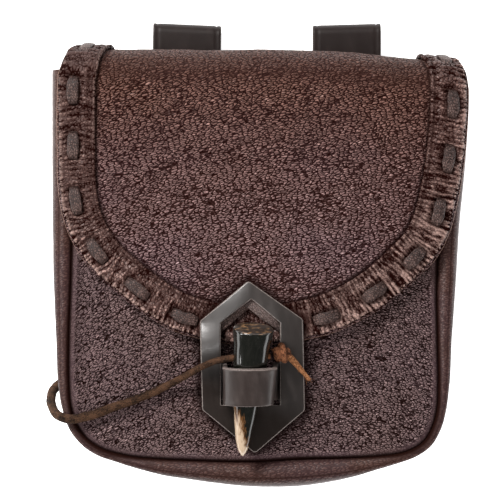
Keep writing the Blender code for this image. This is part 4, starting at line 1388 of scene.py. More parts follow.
@dataclass(frozen=True)
class FlapForm:
    """The flap's sheet: down the front, and over the top fold to the tail.

    A sheet place is (x, s): s is the length up the sheet from the fold line, below
    zero down the front and above zero over the fold and then down the tail.
    """

    pouch: PouchForm = PouchForm()
    width: float = 186.0
    shift: float = 1.3
    drop: float = 122.0
    wall: float = 1.6
    rest: float = 2.3
    droop: float = 1.5
    fold_y: float = 80.3
    fold_bulge: float = 12.0
    fold_drop: float = 6.6
    fold_drop_start: float = 14.0
    tail: float = 24.0
    tail_inner_z: float = 10.9
    turn_reach: float = 6.0

    def fold_line(self, x: Array) -> Array:
        """Y at which the flap starts to turn over, lower towards the right."""
        share = (x - self.fold_drop_start) / (self.width / 2 - self.fold_drop_start)
        return self.fold_y - self.fold_drop * np.clip(share, 0, 1)**1.5

    def under(self, x: Array, y: Array) -> Array:
        """Height of the sheet's underside on the front, drooping past the seam."""
        outside = np.minimum(self.pouch.seam_distance(x, y), 0.0) / self.pouch.bulge
        return self.pouch.front_form(x, y) + self.rest - self.droop * outside**2

    def fold_shape(self, x: Array) -> tuple[Array, Array]:
        """Middle and half height of the fold's inner curve."""
        top = self.under(x, self.fold_line(x))
        return (top + self.tail_inner_z) / 2, (top - self.tail_inner_z) / 2

    @cached_property
    def fold_length(self) -> float:
        """Length over the fold: half an ellipse, by its mean radius."""
        half = float(self.fold_shape(np.array([0.0]))[1][0])
        return math.pi * (self.fold_bulge - self.wall + half) / 2

    def place(self, x: Array, s: Array, lift: Array | float) -> Array:
        """Point above a sheet place.

        Args:
            x: Sheet places' first coordinate.
            s: Their length up the sheet.
            lift: Height above the underside, square to the sheet over the fold.

        Returns:
            Points.
        """
        x, s, lift = np.broadcast_arrays(x, s, lift)
        line = self.fold_line(x)
        front_y = line + np.minimum(s, 0.0)
        front_z = self.under(x, front_y) + lift
        middle, half = self.fold_shape(x)
        turn = np.clip(s / self.fold_length, 0, 1) * math.pi
        past = np.maximum(s - self.fold_length, 0.0)
        fold_y = line + (self.fold_bulge - self.wall + lift) * np.sin(turn) - past
        fold_z = middle + (half + lift) * np.cos(turn)
        over = s > 0
        y, z = np.where(over, fold_y, front_y), np.where(over, fold_z, front_z)
        return np.stack([x, y, z], -1)

    @cached_property
    def front_rows(self) -> list[Pair]:
        """Sheet places of the edge below the fold line, left to right."""
        return [(self.shift + across * self.width / 2, -down * self.drop)
                for across, down in FLAP_ROWS]

    @cached_property
    def edge(self) -> Array:
        """The flap's whole edge in sheet places, from tail to tail.

        Returns:
            Points (x, s).
        """
        half = self.width / 2
        left = [(self.shift + low * half, turn * self.fold_length)
                for turn, low, _ in FOLD_ROWS[:0:-1]]
        right = [(self.shift + high * half, turn * self.fold_length)
                 for turn, _, high in FOLD_ROWS[1:]]
        return smooth_curve(left + self.front_rows + right, 1400)

    @cached_property
    def edge_normal(self) -> Array:
        """Outward normals of the edge, turned straight sideways over the fold.

        Returns:
            Unit vectors in sheet places.
        """
        normal = outward(self.edge)
        share = ease(self.edge[:, 1] / self.turn_reach)[:, None]
        sideways = np.column_stack([np.sign(normal[:, 0]), np.zeros(len(normal))])
        return unit(normal * (1 - share) + sideways * share)

    @cached_property
    def edge_run(self) -> Array:
        """Length along the edge."""
        return run_of(self.edge)


@dataclass(frozen=True)
class LaceForm:
    """The line of stitches round the flap. Lengths in millimetres."""

    flap: FlapForm = FlapForm()
    width: float = 5.4
    thick: float = 1.2
    inset: float = 7.2
    pitch: float = 25.0
    start: float = 24.0
    length: float = 12.8
    count: int = 7

    @cached_property
    def line(self) -> Array:
        """The laces' sheet places, at the edge's stations."""
        return self.flap.edge - self.inset * outward(self.flap.edge)

    @cached_property
    def run(self) -> Array:
        """Length along the line."""
        return run_of(self.line)

    @property
    def half(self) -> float:
        """From a stitch's middle to each of its slots."""
        return (self.length - self.thick) / 2

    @cached_property
    def centres(self) -> Array:
        """Stitches' middles along the line, those of the left lace first."""
        first = self.start + self.pitch * np.arange(self.count)
        return np.concatenate([first, self.run[-1] - first])


FORM = PouchForm()
FLAP = FlapForm(FORM)
LACING = LaceForm(FLAP)


class Side(Enum):
    """The body's two panels."""

    FRONT = "front_panel"
    BACK = "back_panel"


@dataclass(frozen=True)
class Panel:
    """Front or back panel: a soft sheet, its edge rolled over into the seam."""

    side: Side
    wall: float
    rows: int = 136
    cols: int = 150
    turns: tuple[float, ...] = (15.0, 30.0, 45.0, 60.0, 75.0, 90.0)
    swells: Unevenness = Unevenness(11, 0.30, (19.0, 15.0), 40.0)
    ripples: Unevenness = Unevenness(12, 0.10, (6.5, 4.6), 60.0, folded=True)
    puckers: Unevenness = Unevenness(13, 0.28, (1.0, 1.0), (40.0, 3.0))
    pucker_pitch: float = 5.6
    pucker_at: float = 5.0
    pucker_reach: float = 6.0
    level_inside: float = 2.0
    level_reach: float = 3.5
    roll_smooth: float = 0.6
    seam_smooth: float = 0.45
    # weights of the painted shade in the seam's crease and at the lower left corner
    seam_crease: float = 0.3
    corner_shade: float = 0.6

    def rolled(self, y: Array, inside: Array, turn: float | None) -> Array:
        """Heights of the rolled edge at one turn, or of its allowance's end.

        Args:
            y: Stations' second coordinate.
            inside: Distance inside the seam.
            turn: Degrees from the top, or None for the allowance's end.

        Returns:
            Heights.
        """
        rise = FORM.roll_rise + FORM.groove
        if self.side is Side.FRONT:
            floor = FORM.seam_height(y) - FORM.groove
            if turn is None:
                return floor - FORM.allowance
            return floor + rise * math.cos(math.radians(turn)) + FORM.crown(y, inside)
        if turn is None:
            return np.full_like(y, FORM.back_seam_z + FORM.groove + FORM.allowance)
        return FORM.back_seam_z + FORM.groove - rise * math.cos(math.radians(turn)) + 0 * y

    def relief(self, plan: Array) -> Array:
        """Leather's unevenness: soft swells, ripples and puckers along the seam.

        The puckers are waves along the seam, of uneven length, that fade over about
        12 mm inside it. Nothing moves right at the roll.

        Args:
            plan: Places in plan.

        Returns:
            Heights.
        """
        x, y = plan[..., 0], plan[..., 1]
        inside = FORM.seam_distance(x, y)
        around = np.arctan2(y, x) * FORM.seam_half / self.pucker_pitch
        near = bell(inside - self.pucker_at, self.pucker_reach)
        height = self.swells.over(x, y) + self.ripples.over(x, y)
        height = height + self.puckers.over(around, 0 * around) * near
        return height * ease((inside - self.level_inside) / self.level_reach)

    def shades(self, x: Array, y: Array) -> tuple[Array, Array]:
        """Marks of the face: worn smooth by the seam, with painted shade in its crease.

        The painted shade along the seam is wider at the lower left corner, and the front
        has a painted shadow round the clasp's plate.

        Args:
            x: Places across.
            y: Places up.

        Returns:
            The smooth and the crease mark.
        """
        inside = FORM.seam_distance(x, y)
        smooth = self.seam_smooth * bell(inside - 1.0, 2.2)
        # painted shade: a wider dark line along the seam at the lower left corner
        dull_and_shade = self.corner_shade * ease(-x / 40.0) * ease((y + 70.0) / 30.0)
        crease = np.maximum(
            self.seam_crease * bell(inside, 3.0), dull_and_shade * bell(inside - 2.0, 4.0))
        if self.side is Side.FRONT:
            # painted shadow round the clasp's plate
            crease = np.maximum(crease, CLASP.shade(x, y))
        return smooth, crease

    def build(self) -> None:
        """Make the panel: a grid between four edges, then the roll's rings."""
        edge = resample(FORM.seam, 2 * self.rows + self.cols)
        normal = outward(edge)
        inset = edge[:, :2] - FORM.roll_width * normal
        inset[:, 1] = np.minimum(inset[:, 1], FORM.mouth_y)
        plan = filled(inset, self.rows)
        x, y = plan[..., 0], plan[..., 1]
        if self.side is Side.FRONT:
            height = FORM.front_surface(x, y) + self.relief(plan)
        else:
            height = FORM.back_surface(x, y)
        number = np.arange(x.size).reshape(x.shape)
        ring = np.concatenate([number[:-1, 0], number[-1], number[-2::-1, -1]])
        points = [np.concatenate([plan, height[..., None]], -1).reshape(-1, 3)]
        faces = [grid_faces(*x.shape)]
        smooth, crease = ([mark.ravel()] for mark in self.shades(x, y))
        ring_y = np.minimum(edge[:, 1], FORM.mouth_y)
        count = x.size
        for turn in (*self.turns, None):
            swing = 1.0 if turn is None else math.sin(math.radians(turn))
            inside = FORM.gap / 2 + (FORM.roll_width - FORM.gap / 2) * (1 - swing)
            level = edge[:, :2] - inside * normal
            level[:, 1] = np.minimum(level[:, 1], FORM.mouth_y)
            lift = self.rolled(ring_y, np.full_like(ring_y, inside), turn)
            points.append(np.column_stack([level, lift]))
            fresh = np.arange(count, count + len(edge))
            faces.append(np.column_stack([ring[:-1], ring[1:], fresh[1:], fresh[:-1]]))
            smooth.append(np.full(len(edge), self.roll_smooth))
            # painted shade on the roll, darker as it turns down into the seam
            crease.append(np.full(len(edge), 0.25 + 0.75 * float(ease((swing - 0.4) / 0.4))))
            ring = fresh
            count += len(edge)
        faces = np.vstack(faces)
        if self.side is Side.FRONT:
            faces = faces[:, ::-1]
        marks = (("smooth", np.concatenate(smooth)), ("crease", np.concatenate(crease)))
        shape = Shape(np.vstack(points), faces, marks=marks)
        node = self.side.value
        shape.build(
            node + "_leather", [PANEL_FACE, BROWN_EDGE], node, "grained_leather", self.wall)


@dataclass(frozen=True)
class Gusset:
    """Strip round the sides and bottom, bulging between the two seams."""

    wall: float = 1.0
    crest: float = 1.7
    bow: float = 0.12
    top: float = 83.0
    right_top: float = 76.4
    stations: int = 460
    arc_steps: int = 14
    bow_steps: int = 8
    front_part: float = 8.0
    crease_out: float = 0.62
    crease_width: float = 0.055
    crease_depth: float = 0.35
    # painted shade along the seam's crease and along a thread line
    seam_shade: float = 0.80
    thread_out: float = 0.86
    thread_shade: float = 0.45
    press_pitch: float = 3.2
    waves: Unevenness = Unevenness(21, 0.16, (8.0, 7.0), (0.0, 20.0))
    folds: Unevenness = Unevenness(22, 0.096, (3.4, 9.0), (0.0, 20.0), folded=True)
    smooth: float = 0.70

    def section(self, edge: Array) -> tuple[Array, Array]:
        """The strip's section at each station: two half circles and a bow between them.

        Args:
            edge: Stations along the seam: plan place and bulge.

        Returns:
            Distances out from the seam and heights, by station and place across.
        """
        bulge = edge[:, 2]
        radius = (bulge * (1 - self.bow) - FORM.gap / 2) / 2
        centre = FORM.gap / 2 + radius
        front = FORM.seam_height(edge[:, 1]) + self.crest - radius
        back = FORM.back_seam_z - self.crest + radius
        turns = np.linspace(math.pi, 0.0, self.arc_steps + 1)[:, None]
        bow = np.linspace(0.0, 1.0, self.bow_steps + 1)[1:-1, None]
        end = np.full((1, len(bulge)), FORM.gap / 2)
        out = np.vstack([
            end, centre + radius * np.cos(turns),
            centre + radius + (bulge - centre - radius) * np.sin(bow * math.pi),
            centre + radius * np.cos(turns[::-1]), end])
        high = np.vstack([
            front[None] - FORM.allowance, front + radius * np.sin(turns),
            front + (back - front) * bow, back - radius * np.sin(turns[::-1]),
            back + FORM.allowance + 0 * end])
        return out.T, high.T

    def build(self) -> None:
        """Make the strip, with the crease that its seam's allowance presses into it."""
        keep = (FORM.seam[:, 0] < 0) | (FORM.seam[:, 1] < self.right_top)
        edge = resample(FORM.seam[keep & (FORM.seam[:, 1] < self.top)], self.stations)
        out, high = self.section(edge)
        run = run_of(edge[:, :2])[:, None]
        steps = np.hypot(np.diff(out, axis=1), np.diff(high, axis=1))
        across = np.cumsum(np.pad(steps, ((0, 0), (1, 0))), axis=1)
        share = out / edge[:, 2:]
        in_front = high > FORM.back_seam_z + self.front_part
        press = 0.75 + 0.25 * np.cos(run * 2 * math.pi / self.press_pitch)
        shift = (self.waves.over(run, across) + self.folds.over(run, across)) * ease(share / 0.5)
        crease = bell(share - self.crease_out, self.crease_width) * in_front
        shift = shift - self.crease_depth * crease * press
        plan = edge[:, None, :2] + (out + 0.3 * shift)[..., None] * outward(edge)[:, None]
        points = np.concatenate([plan, (high + shift)[..., None]], -1)
        # painted shade: dark where the strip turns into the seam, along the seam's crease and along a
        # second thin line further out
        inner = 0.95 * ease((1.7 - out) / 1.2)
        seam = np.maximum(self.seam_shade * bell(share - self.crease_out, 0.035),
                          self.thread_shade * bell(share - self.thread_out, 0.03))
        dark = np.maximum(inner, seam) * in_front
        marks = (("smooth", self.smooth + 0 * out), ("crease", dark))
        faces = grid_faces(*out.shape)[:, [0, 3, 2, 1]]
        shape = Shape(points, faces, uv=uv_of(run, across), marks=marks)
        shape.build(
            "gusset_leather", [GUSSET_FACE, BROWN_EDGE], "gusset", "grained_leather", self.wall)


@dataclass(frozen=True)
class Flap:
    """One sheet of leather from the back, over the top fold and down the front."""

    side_rows: int = 150
    cols: int = 176
    fold_rows: int = 26
    tail_rows: int = 6
    swells: Unevenness = Unevenness(31, 0.26, (21.0, 16.0), 40.0)
    hollows: Unevenness = Unevenness(32, 0.13, (8.5, 6.0), 70.0)
    ripples: Unevenness = Unevenness(33, 0.10, (4.2, 3.0), 90.0, folded=True)
    bends: Unevenness = Unevenness(34, 0.22, (34.0, 5.5), 20.0, folded=True)
    bends_at: float = -2.0
    bends_reach: float = 14.0
    under_border: float = 12.0
    rim_bulge: float = 0.25
    # painted shade: a dark line along the band's inner edge, and darker over the top fold
    crease: float = 0.9
    crease_inside: float = 17.6
    crease_width: float = 0.9
    fold_shade: float = 0.42
    fold_smooth: float = 0.15

    def sheet(self) -> Array:
        """Sheet places by row and column, from the tail's end to the lower edge.

        Returns:
            Points (x, s).
        """
        edge = resample(smooth_curve(FLAP.front_rows, 900), 2 * self.side_rows + self.cols)
        turns, lefts, rights = np.array(FOLD_ROWS).T
        turn = np.linspace(1.0, 0.0, self.fold_rows + 1)[:-1]
        turn = np.concatenate([np.ones(self.tail_rows), turn])[:, None]
        past = np.zeros_like(turn)
        past[:self.tail_rows, 0] = np.linspace(FLAP.tail, 0.0, self.tail_rows + 1)[:-1]
        low, high = (np.interp(turn, turns, ends) for ends in (lefts, rights))
        across = low + (high - low) * np.linspace(0, 1, self.cols + 1)
        x = FLAP.shift + FLAP.width / 2 * across
        upper = np.stack([x, turn * FLAP.fold_length + past + 0 * x], -1)
        return np.concatenate([upper, filled(edge, self.side_rows)])

    def relief(self, sheet: Array) -> Array:
        """Leather's unevenness: broad swells, small ripples, long bends by the fold.

        Args:
            sheet: Sheet places.

        Returns:
            Heights, faded to nothing under the border.
        """
        x, s = sheet[..., 0], sheet[..., 1]
        height = sum(layer.over(x, s) for layer in (self.swells, self.hollows, self.ripples))
        height = height + self.bends.over(x, s) * bell(s - self.bends_at, self.bends_reach)
        return height * ease((self.inside(sheet) - self.under_border) / 8.0)

    def inside(self, sheet: Array) -> Array:
        """Distance of sheet places inside the flap's edge, by its nearest station.

        Args:
            sheet: Sheet places.

        Returns:
            Distances.
        """
        edge = FLAP.edge[::6]
        found = [np.linalg.norm(part[:, None] - edge[None], axis=-1).min(axis=1)
                 for part in np.array_split(sheet.reshape(-1, 2), 12)]
        return np.concatenate(found).reshape(sheet.shape[:-1])

    def build(self) -> None:
        """Make the flap as a closed slab with a pale cut rim."""
        sheet = self.sheet()
        x, s = sheet[..., 0], sheet[..., 1]
        lift = FLAP.wall + self.relief(sheet)
        outer, inner = FLAP.place(x, s, lift), FLAP.place(x, s, 0.0)
        # painted shade along the band's inner edge, wider at the lower right
        width = self.crease_width * (1 + 0.7 * ease(x / 40.0) * ease((s + 30.0) / -30.0))
        crease = self.crease * bell(self.inside(sheet) - self.crease_inside, width)
        # painted shadow round the plate
        crease = np.maximum(crease, CLASP.shade(outer[..., 0], outer[..., 1]) * (s < 0))
        # painted shade over the top fold
        fold = ease((s + 7.0) / 9.0)
        marks = (("smooth", self.fold_smooth * fold),
                 ("crease", np.maximum(crease, self.fold_shade * fold)))
        shape = slab(outer, inner, self.rim_bulge, uv=sheet * MM, marks=marks)
        shape.build("flap_leather", [GRAIN, BROWN_EDGE], "flap", "grained_leather")


@dataclass(frozen=True)
class Border:
    """Padded band along the flap's edge, creased across and pressed by its laces.

    A place on its face is (run, share): the length along the flap's edge, and the
    place across from 0 at the outer edge to 1 at the inner one.
    """

    width: float = 16.6
    inset: float = 0.8
    base: float = 2.0
    wall: float = 1.4
    step: float = 0.55
    across: int = 30
    turn: int = 4
    edge_reach: float = 0.7
    dome: float = 0.55
    rim: float = 0.50
    groove: float = 0.30
    heap: float = 0.45
    wrinkle: float = 0.48
    press: float = 0.85
    dimple: float = 1.05
    bead: float = 1.8
    bead_height: float = 0.16
    pleat: float = 2.4
    slant: Unevenness = Unevenness(41, 1.3, (8.0, 0.5))
    folds: Unevenness = Unevenness(42, 0.75, (2.3, 1 / 2.2), (0.0, 5.0), folded=True)
    fine: Unevenness = Unevenness(43, 0.35, (1.25, 0.2), (30.0, 5.0), folded=True)
    scallop: Unevenness = Unevenness(44, 0.35, (3.0, 1.0), (0.0, 2.0))
    early_end: float = 90.0
    dim_end: float = 125.0
    late_start: float = 0.52

    def stitch_places(self, run: Array, share: Array) -> tuple[Array, Array]:
        """Distances from the nearest stitch's middle, along the laces and across them.

        Args:
            run: Length along the flap's edge.
            share: Place across.

        Returns:
            Both distances.
        """
        place = np.interp(run, FLAP.edge_run, LACING.run)
        near = np.abs(place[..., None] - LACING.centres).min(-1)
        return near, share * self.width + self.inset - LACING.inset

    def wrinkles(self, run: Array, share: Array) -> Array:
        """Folds across the band, strongest near both its edges and by the slots.

        Args:
            run: Length along the flap's edge.
            share: Place across.

        Returns:
            Values from about -1 to 1.
        """
        near, across = self.stitch_places(run, share)
        drawn = bell(near - LACING.half, 5.5) * bell(across, 7.5)
        skew = run + self.slant.over(run, share)
        folds = self.folds.over(skew, share) + 0.42 * np.sin(skew * 2 * math.pi / self.pleat)
        weight = 0.45 + 0.75 * bell(share, 0.35) + 0.35 * bell(share - 1.0, 0.25) + 0.5 * drawn
        calm = 1 - 0.6 * bell(run - 10.0, 26.0) - 0.4 * bell(run - FLAP.edge_run[-1], 30.0)
        return (0.65 * folds + self.fine.over(skew, share)) * weight * calm

    def beads(self, run: Array, share: Array) -> Array:
        """Small waves along the outer edge, where the band is sewn down, from 0 to 1."""
        skew = run + self.slant.over(run, share)
        return 0.5 + 0.5 * np.sin(skew * 2 * math.pi / self.bead)

    def relief(self, run: Array, share: Array) -> Array:
        """Heights over the band's face.

        The face is domed, with a raised rim along its inner edge, the wrinkles, a
        trough under each stitch and a dimple at each slot with the leather heaped up
        round it.

        Args:
            run: Length along the flap's edge.
            share: Place across.

        Returns:
            Heights.
        """
        near, across = self.stitch_places(run, share)
        slot = np.hypot(near - LACING.half, across * 0.55)
        under = bell(near, LACING.half + 0.8, 6.0) * bell(across, 3.4, 3.0)
        quiet = 1 - 0.7 * bell(share - 0.95, 0.07)
        height = self.dome * (1 - (2 * share - 1)**2)**0.6
        height = height + self.rim * bell(share - 0.945, 0.05)
        height = height - self.groove * bell(share - 0.84, 0.055)
        height = height + self.wrinkle * self.wrinkles(run, share) * quiet
        height = height + self.heap * bell(slot - 3.4, 1.6)
        height = height - self.press * under - self.dimple * bell(slot, 2.0)
        return height + self.bead_height * self.beads(run, share) * bell(share - 0.03, 0.06)

    def shades(self, run: Array, share: Array) -> tuple[Array, Array]:
        """Painted shade, under the stitches and by the rims, and light edges: wear with painted
        highlights.

        Painted shade dims the left part, most on its outer edge, and painted highlights
        light the wrinkles' tops in the right part's lower half and the left part's inner rim.

        Args:
            run: Length along the flap's edge.
            share: Place across.

        Returns:
            Painted shade, and wear with painted highlights, from 0 to 1.
        """
        near, across = self.stitch_places(run, share)
        length = FLAP.edge_run[-1]
        early = ease((self.early_end - run) / 40.0)
        late = ease((run - self.late_start * length) / 50.0) * ease((length - 70.0 - run) / 40.0)
        # painted shade over the left part
        dim = 0.28 + 0.22 * bell(share - 0.15, 0.25)
        # painted shade under the stitches, in the groove by the inner rim and on the left part's
        # outer edge
        dark = np.maximum.reduce([
            bell(near, LACING.half + 1.2, 8.0) * bell(across, 3.3, 6.0),
            0.75 * bell(share - 0.89, 0.035), 0.45 * early * bell(share - 0.04, 0.10),
            dim * ease((self.dim_end - run) / 30.0)])
        # wear along the sewn outer edge; a painted highlight on the inner rim of the left part
        wear_and_highlight = (0.25 + 0.75 * self.beads(run, share)) * bell(share - 0.045, 0.035)
        wear_and_highlight = 0.8 * wear_and_highlight * (1 - 0.7 * early) + 0.30 * bell(share - 0.96, 0.02) * early
        # painted highlight on the wrinkles' tops in the right part's lower half
        tops = 0.40 * late * np.clip(self.wrinkles(run, share), 0, 1)
        return 0.9 * dark, np.maximum(wear_and_highlight, tops)

    def build(self) -> None:
        """Sweep the band's rounded section along the flap's edge."""
        length = FLAP.edge_run[-1]
        run = np.linspace(0.0, length, int(length / self.step))
        edge = at_lengths(FLAP.edge, FLAP.edge_run, run)
        normal = at_lengths(FLAP.edge_normal, FLAP.edge_run, run)
        section = rounded_section(self.width, self.wall, self.edge_reach, self.across, self.turn)
        side, level = section.T
        top = ease(level / self.wall)
        run, share = np.broadcast_arrays(run[:, None], (side + self.width / 2) / self.width)
        inset = self.inset + share * self.width + self.scallop.over(run, 0 * run) * bell(share, 0.12)
        sheet = edge[:, None] - inset[..., None] * normal[:, None]
        lift = self.base + level + np.maximum(self.relief(run, share) * top, -0.9 * level)
        rings = FLAP.place(sheet[..., 0], sheet[..., 1], lift)
        dark, wear_and_highlight = self.shades(run, share)
        # painted shadow round the plate
        dark = np.maximum(dark, CLASP.shade(rings[..., 0], rings[..., 1]) * (sheet[..., 1] < 0))
        # the smooth mark takes the painted highlights on the tops away near both ends
        quiet = bell(run - 5.0, 40.0) + 0.6 * bell(run - length + 5.0, 34.0)
        # the edge mark carries the wear and the painted highlights of the rims
        marks = (("relief", self.wrinkles(run, share) * top), ("crease", dark * top),
                 ("edge", wear_and_highlight * top), ("smooth", quiet * top))
        shape = swept(rings, uv=uv_of(run, self.width * share), marks=marks)
        shape.build("flap_band", [BORDER], "flap_border", "border_leather")


@dataclass(frozen=True)
class Lace:
    """One thong, woven through its side's slots as a row of plump stitches."""

    right: bool
    under: float = -1.4
    over: float = 4.7
    arch: float = 0.75
    end_over: float = 3.5
    pressed: float = 1.3
    dive: float = 0.9
    taper: float = 0.24
    plump: float = 0.30
    edge_reach: float = 0.16
    around: int = 16
    turn: int = 5
    step: float = 0.45

    def build(self) -> None:
        """Sweep the thong along its weaving path, narrower where it dives."""
        half = LACING.half
        between = LACING.pitch - 2 * half
        rows = []
        for k, centre in enumerate(LACING.start + LACING.pitch * np.arange(LACING.count)):
            over = self.over - (self.pressed if k == 0 else 0.0)
            slot_top = self.end_over - self.over + over
            left = [(-half - between / 3, self.under), (-half, self.under), (-half, slot_top),
                    (-half + self.dive, over), (-half / 3, over + self.arch)]
            right = [(-along, level) for along, level in left[::-1]]
            rows += [(centre + along, level) for along, level in left + right]
        path = rounded_corners(np.array(rows), 3)
        length = run_of(path)
        at = np.arange(0.0, length[-1], self.step)
        place, lift = at_lengths(path, length, at).T
        own = LACING.centres[:LACING.count]
        offset = place - own[np.abs(place[:, None] - own).argmin(axis=1)]
        taper = 1.0 - self.taper * ease((np.abs(offset) - 2.6) / 3.2)
        wobble = Unevenness(51 + self.right, 0.25, (4.0, 1.0), (0.0, 1.0)).over(at, 0 * at)
        section = rounded_section(1.0, 1.0, self.edge_reach, self.around, self.turn)
        side = section[:, 0] * (LACING.width * taper)[:, None] + wobble[:, None]
        rise, ahead = unit(np.column_stack([np.gradient(lift, at), np.gradient(place, at)])).T
        plump = self.plump * (1 - (2 * section[:, 0])**2) * bell(offset, 5.0, 4.0)[:, None]
        thick = LACING.thick * (section[:, 1] - 0.5) + plump * section[:, 1]
        grid_place = place[:, None] - rise[:, None] * thick
        grid_lift = lift[:, None] + ahead[:, None] * thick
        if self.right:
            grid_place = LACING.run[-1] - grid_place
        spot = at_lengths(LACING.line, LACING.run, grid_place)
        spot = spot + side[..., None] * at_lengths(outward(LACING.line), LACING.run, grid_place)
        rings = FLAP.place(spot[..., 0], spot[..., 1], grid_lift)
        lower = ease((offset + 1.0) / 4.5) * ease((6.6 - offset) / 1.0)
        marks = (("end", lower[:, None] + 0 * side),)
        shape = swept(rings, uv=uv_of(at[:, None], side), marks=marks)
        name = "right" if self.right else "left"
        shape.build(f"lace_{name}_thong", [LACE_FACE], f"lace_{name}", "lace_leather")


@dataclass(frozen=True)
class Clasp:
    """Sizes that the plate, its ties, the keeper and the horn share."""

    top_y: float = -12.7
    length: float = 78.0
    width: float = 47.2
    centre_x: float = -3.5
    wall: float = 2.2
    point_rest: float = 1.6
    lower_rest: float = 3.2
    upper_rest: float = 9.0
    keeper_x: float = -4.4
    keeper_y: float = -58.0
    keeper_end_y: float = -66.5
    flap_end_y: float = -41.7
    window_half: float = 13.2
    window_apex_y: float = -21.0
    window_shoulder_y: float = -31.6
    window_foot_y: float = -68.7
    horn_x: float = -3.1
    horn_y: float = -34.0
    horn_length: float = 60.0
    horn_radius: float = 8.8
    horn_tilt: float = 17.5
    # size of the painted shadow round the plate's outline
    shade_start: float = 0.6
    shade_reach: float = 2.5
    shade_depth: float = 0.85
    ragged: Unevenness = Unevenness(64, 0.9, (1.9, 1.9), 60.0)

    def under(self, x: Array, y: Array, soft: float = 0.0) -> Array:
        """Height of the plate's underside: over the border, then down to the front.

        Args:
            x: Places across.
            y: Places up.
            soft: Length over which the bends in the rest are rounded.

        Returns:
            Heights.
        """
        stations = [self.top_y - self.length, self.keeper_end_y, self.flap_end_y - 1.0]
        rests = [self.point_rest, self.lower_rest, self.upper_rest]
        shifts = np.linspace(-soft, soft, 5)
        rest = sum(np.interp(y + shift, stations, rests) for shift in shifts) / len(shifts)
        return FORM.front_form(x, y) + rest

    @cached_property
    def outline(self) -> Array:
        """The plate's corners in plan."""
        scale = np.array([self.width / 2, -self.length])
        return np.array([self.centre_x, self.top_y]) + np.array(PLATE_ROWS) * scale

    def shade(self, x: Array, y: Array) -> Array:
        """Painted shadow: darkness on the leather just beside the plate's outline.

        The distance outside the plate is the largest of the distances outside its
        sides. The shade is a bell of it, whose width is uneven.

        Args:
            x: Places across.
            y: Places up.

        Returns:
            Values from 0 to 1.
        """
        outside = -side_distances(self.outline, x, y).min(axis=0)
        width = self.shade_reach + self.ragged.over(x, y)
        return np.clip(self.shade_depth * bell(outside - self.shade_start, width), 0, 1)

    def horn_axis(self) -> tuple[Array, Array]:
        """Dense horn axis and its radii, as low as the plate lets it lie.

        Returns:
            Axis points from the cut end, and radii.
        """
        along, radius, shift = np.array(HORN_ROWS).T
        tilt = math.radians(self.horn_tilt)
        y = self.horn_y - along * self.horn_length * math.cos(tilt)
        x = self.horn_x + shift * self.horn_length
        radii = radius * self.horn_radius
        rest = self.under(x, y) + self.wall + FORM.gap + radii / math.cos(tilt)
        slope = -along * self.horn_length * math.sin(tilt)
        start = np.max(rest[2:] - slope[2:])
        rows = smooth_curve(np.column_stack([x, y, start + slope, radii]), 170)
        return rows[:, :3], np.maximum(rows[:, 3], 0.05)


CLASP = Clasp()


def rounded_outline(corners: Array, radius: float, arc_steps: int, side_steps: int) -> Array:
    """Closed outline whose corners are turned by a quadratic curve.

    Args:
        corners: Corner points in order.
        radius: Corner radius; a turn reaches at most twice as far along each side.
        arc_steps: Steps of each corner.
        side_steps: Steps of each side.

    Returns:
        Points, the same number for every corner.
    """
    arcs = []
    for k, corner in enumerate(corners):
        back, ahead = corners[k - 1] - corner, corners[(k + 1) % len(corners)] - corner
        back, ahead = back / np.linalg.norm(back), ahead / np.linalg.norm(ahead)
        spread = math.acos(np.clip(back @ ahead, -1, 1))
        reach = min(radius / math.tan(spread / 2), radius * 2)
        t = np.linspace(0, 1, arc_steps + 1)[:, None]
        start, end = corner + back * reach, corner + ahead * reach
        arcs.append((1 - t)**2 * start + 2 * t * (1 - t) * corner + t**2 * end)
    outline = []
    for k, arc in enumerate(arcs):
        following = arcs[(k + 1) % len(arcs)][0]
        t = np.linspace(0, 1, side_steps + 1)[1:-1, None]
        outline += [arc, arc[-1] + t * (following - arc[-1])]
    return np.vstack(outline)


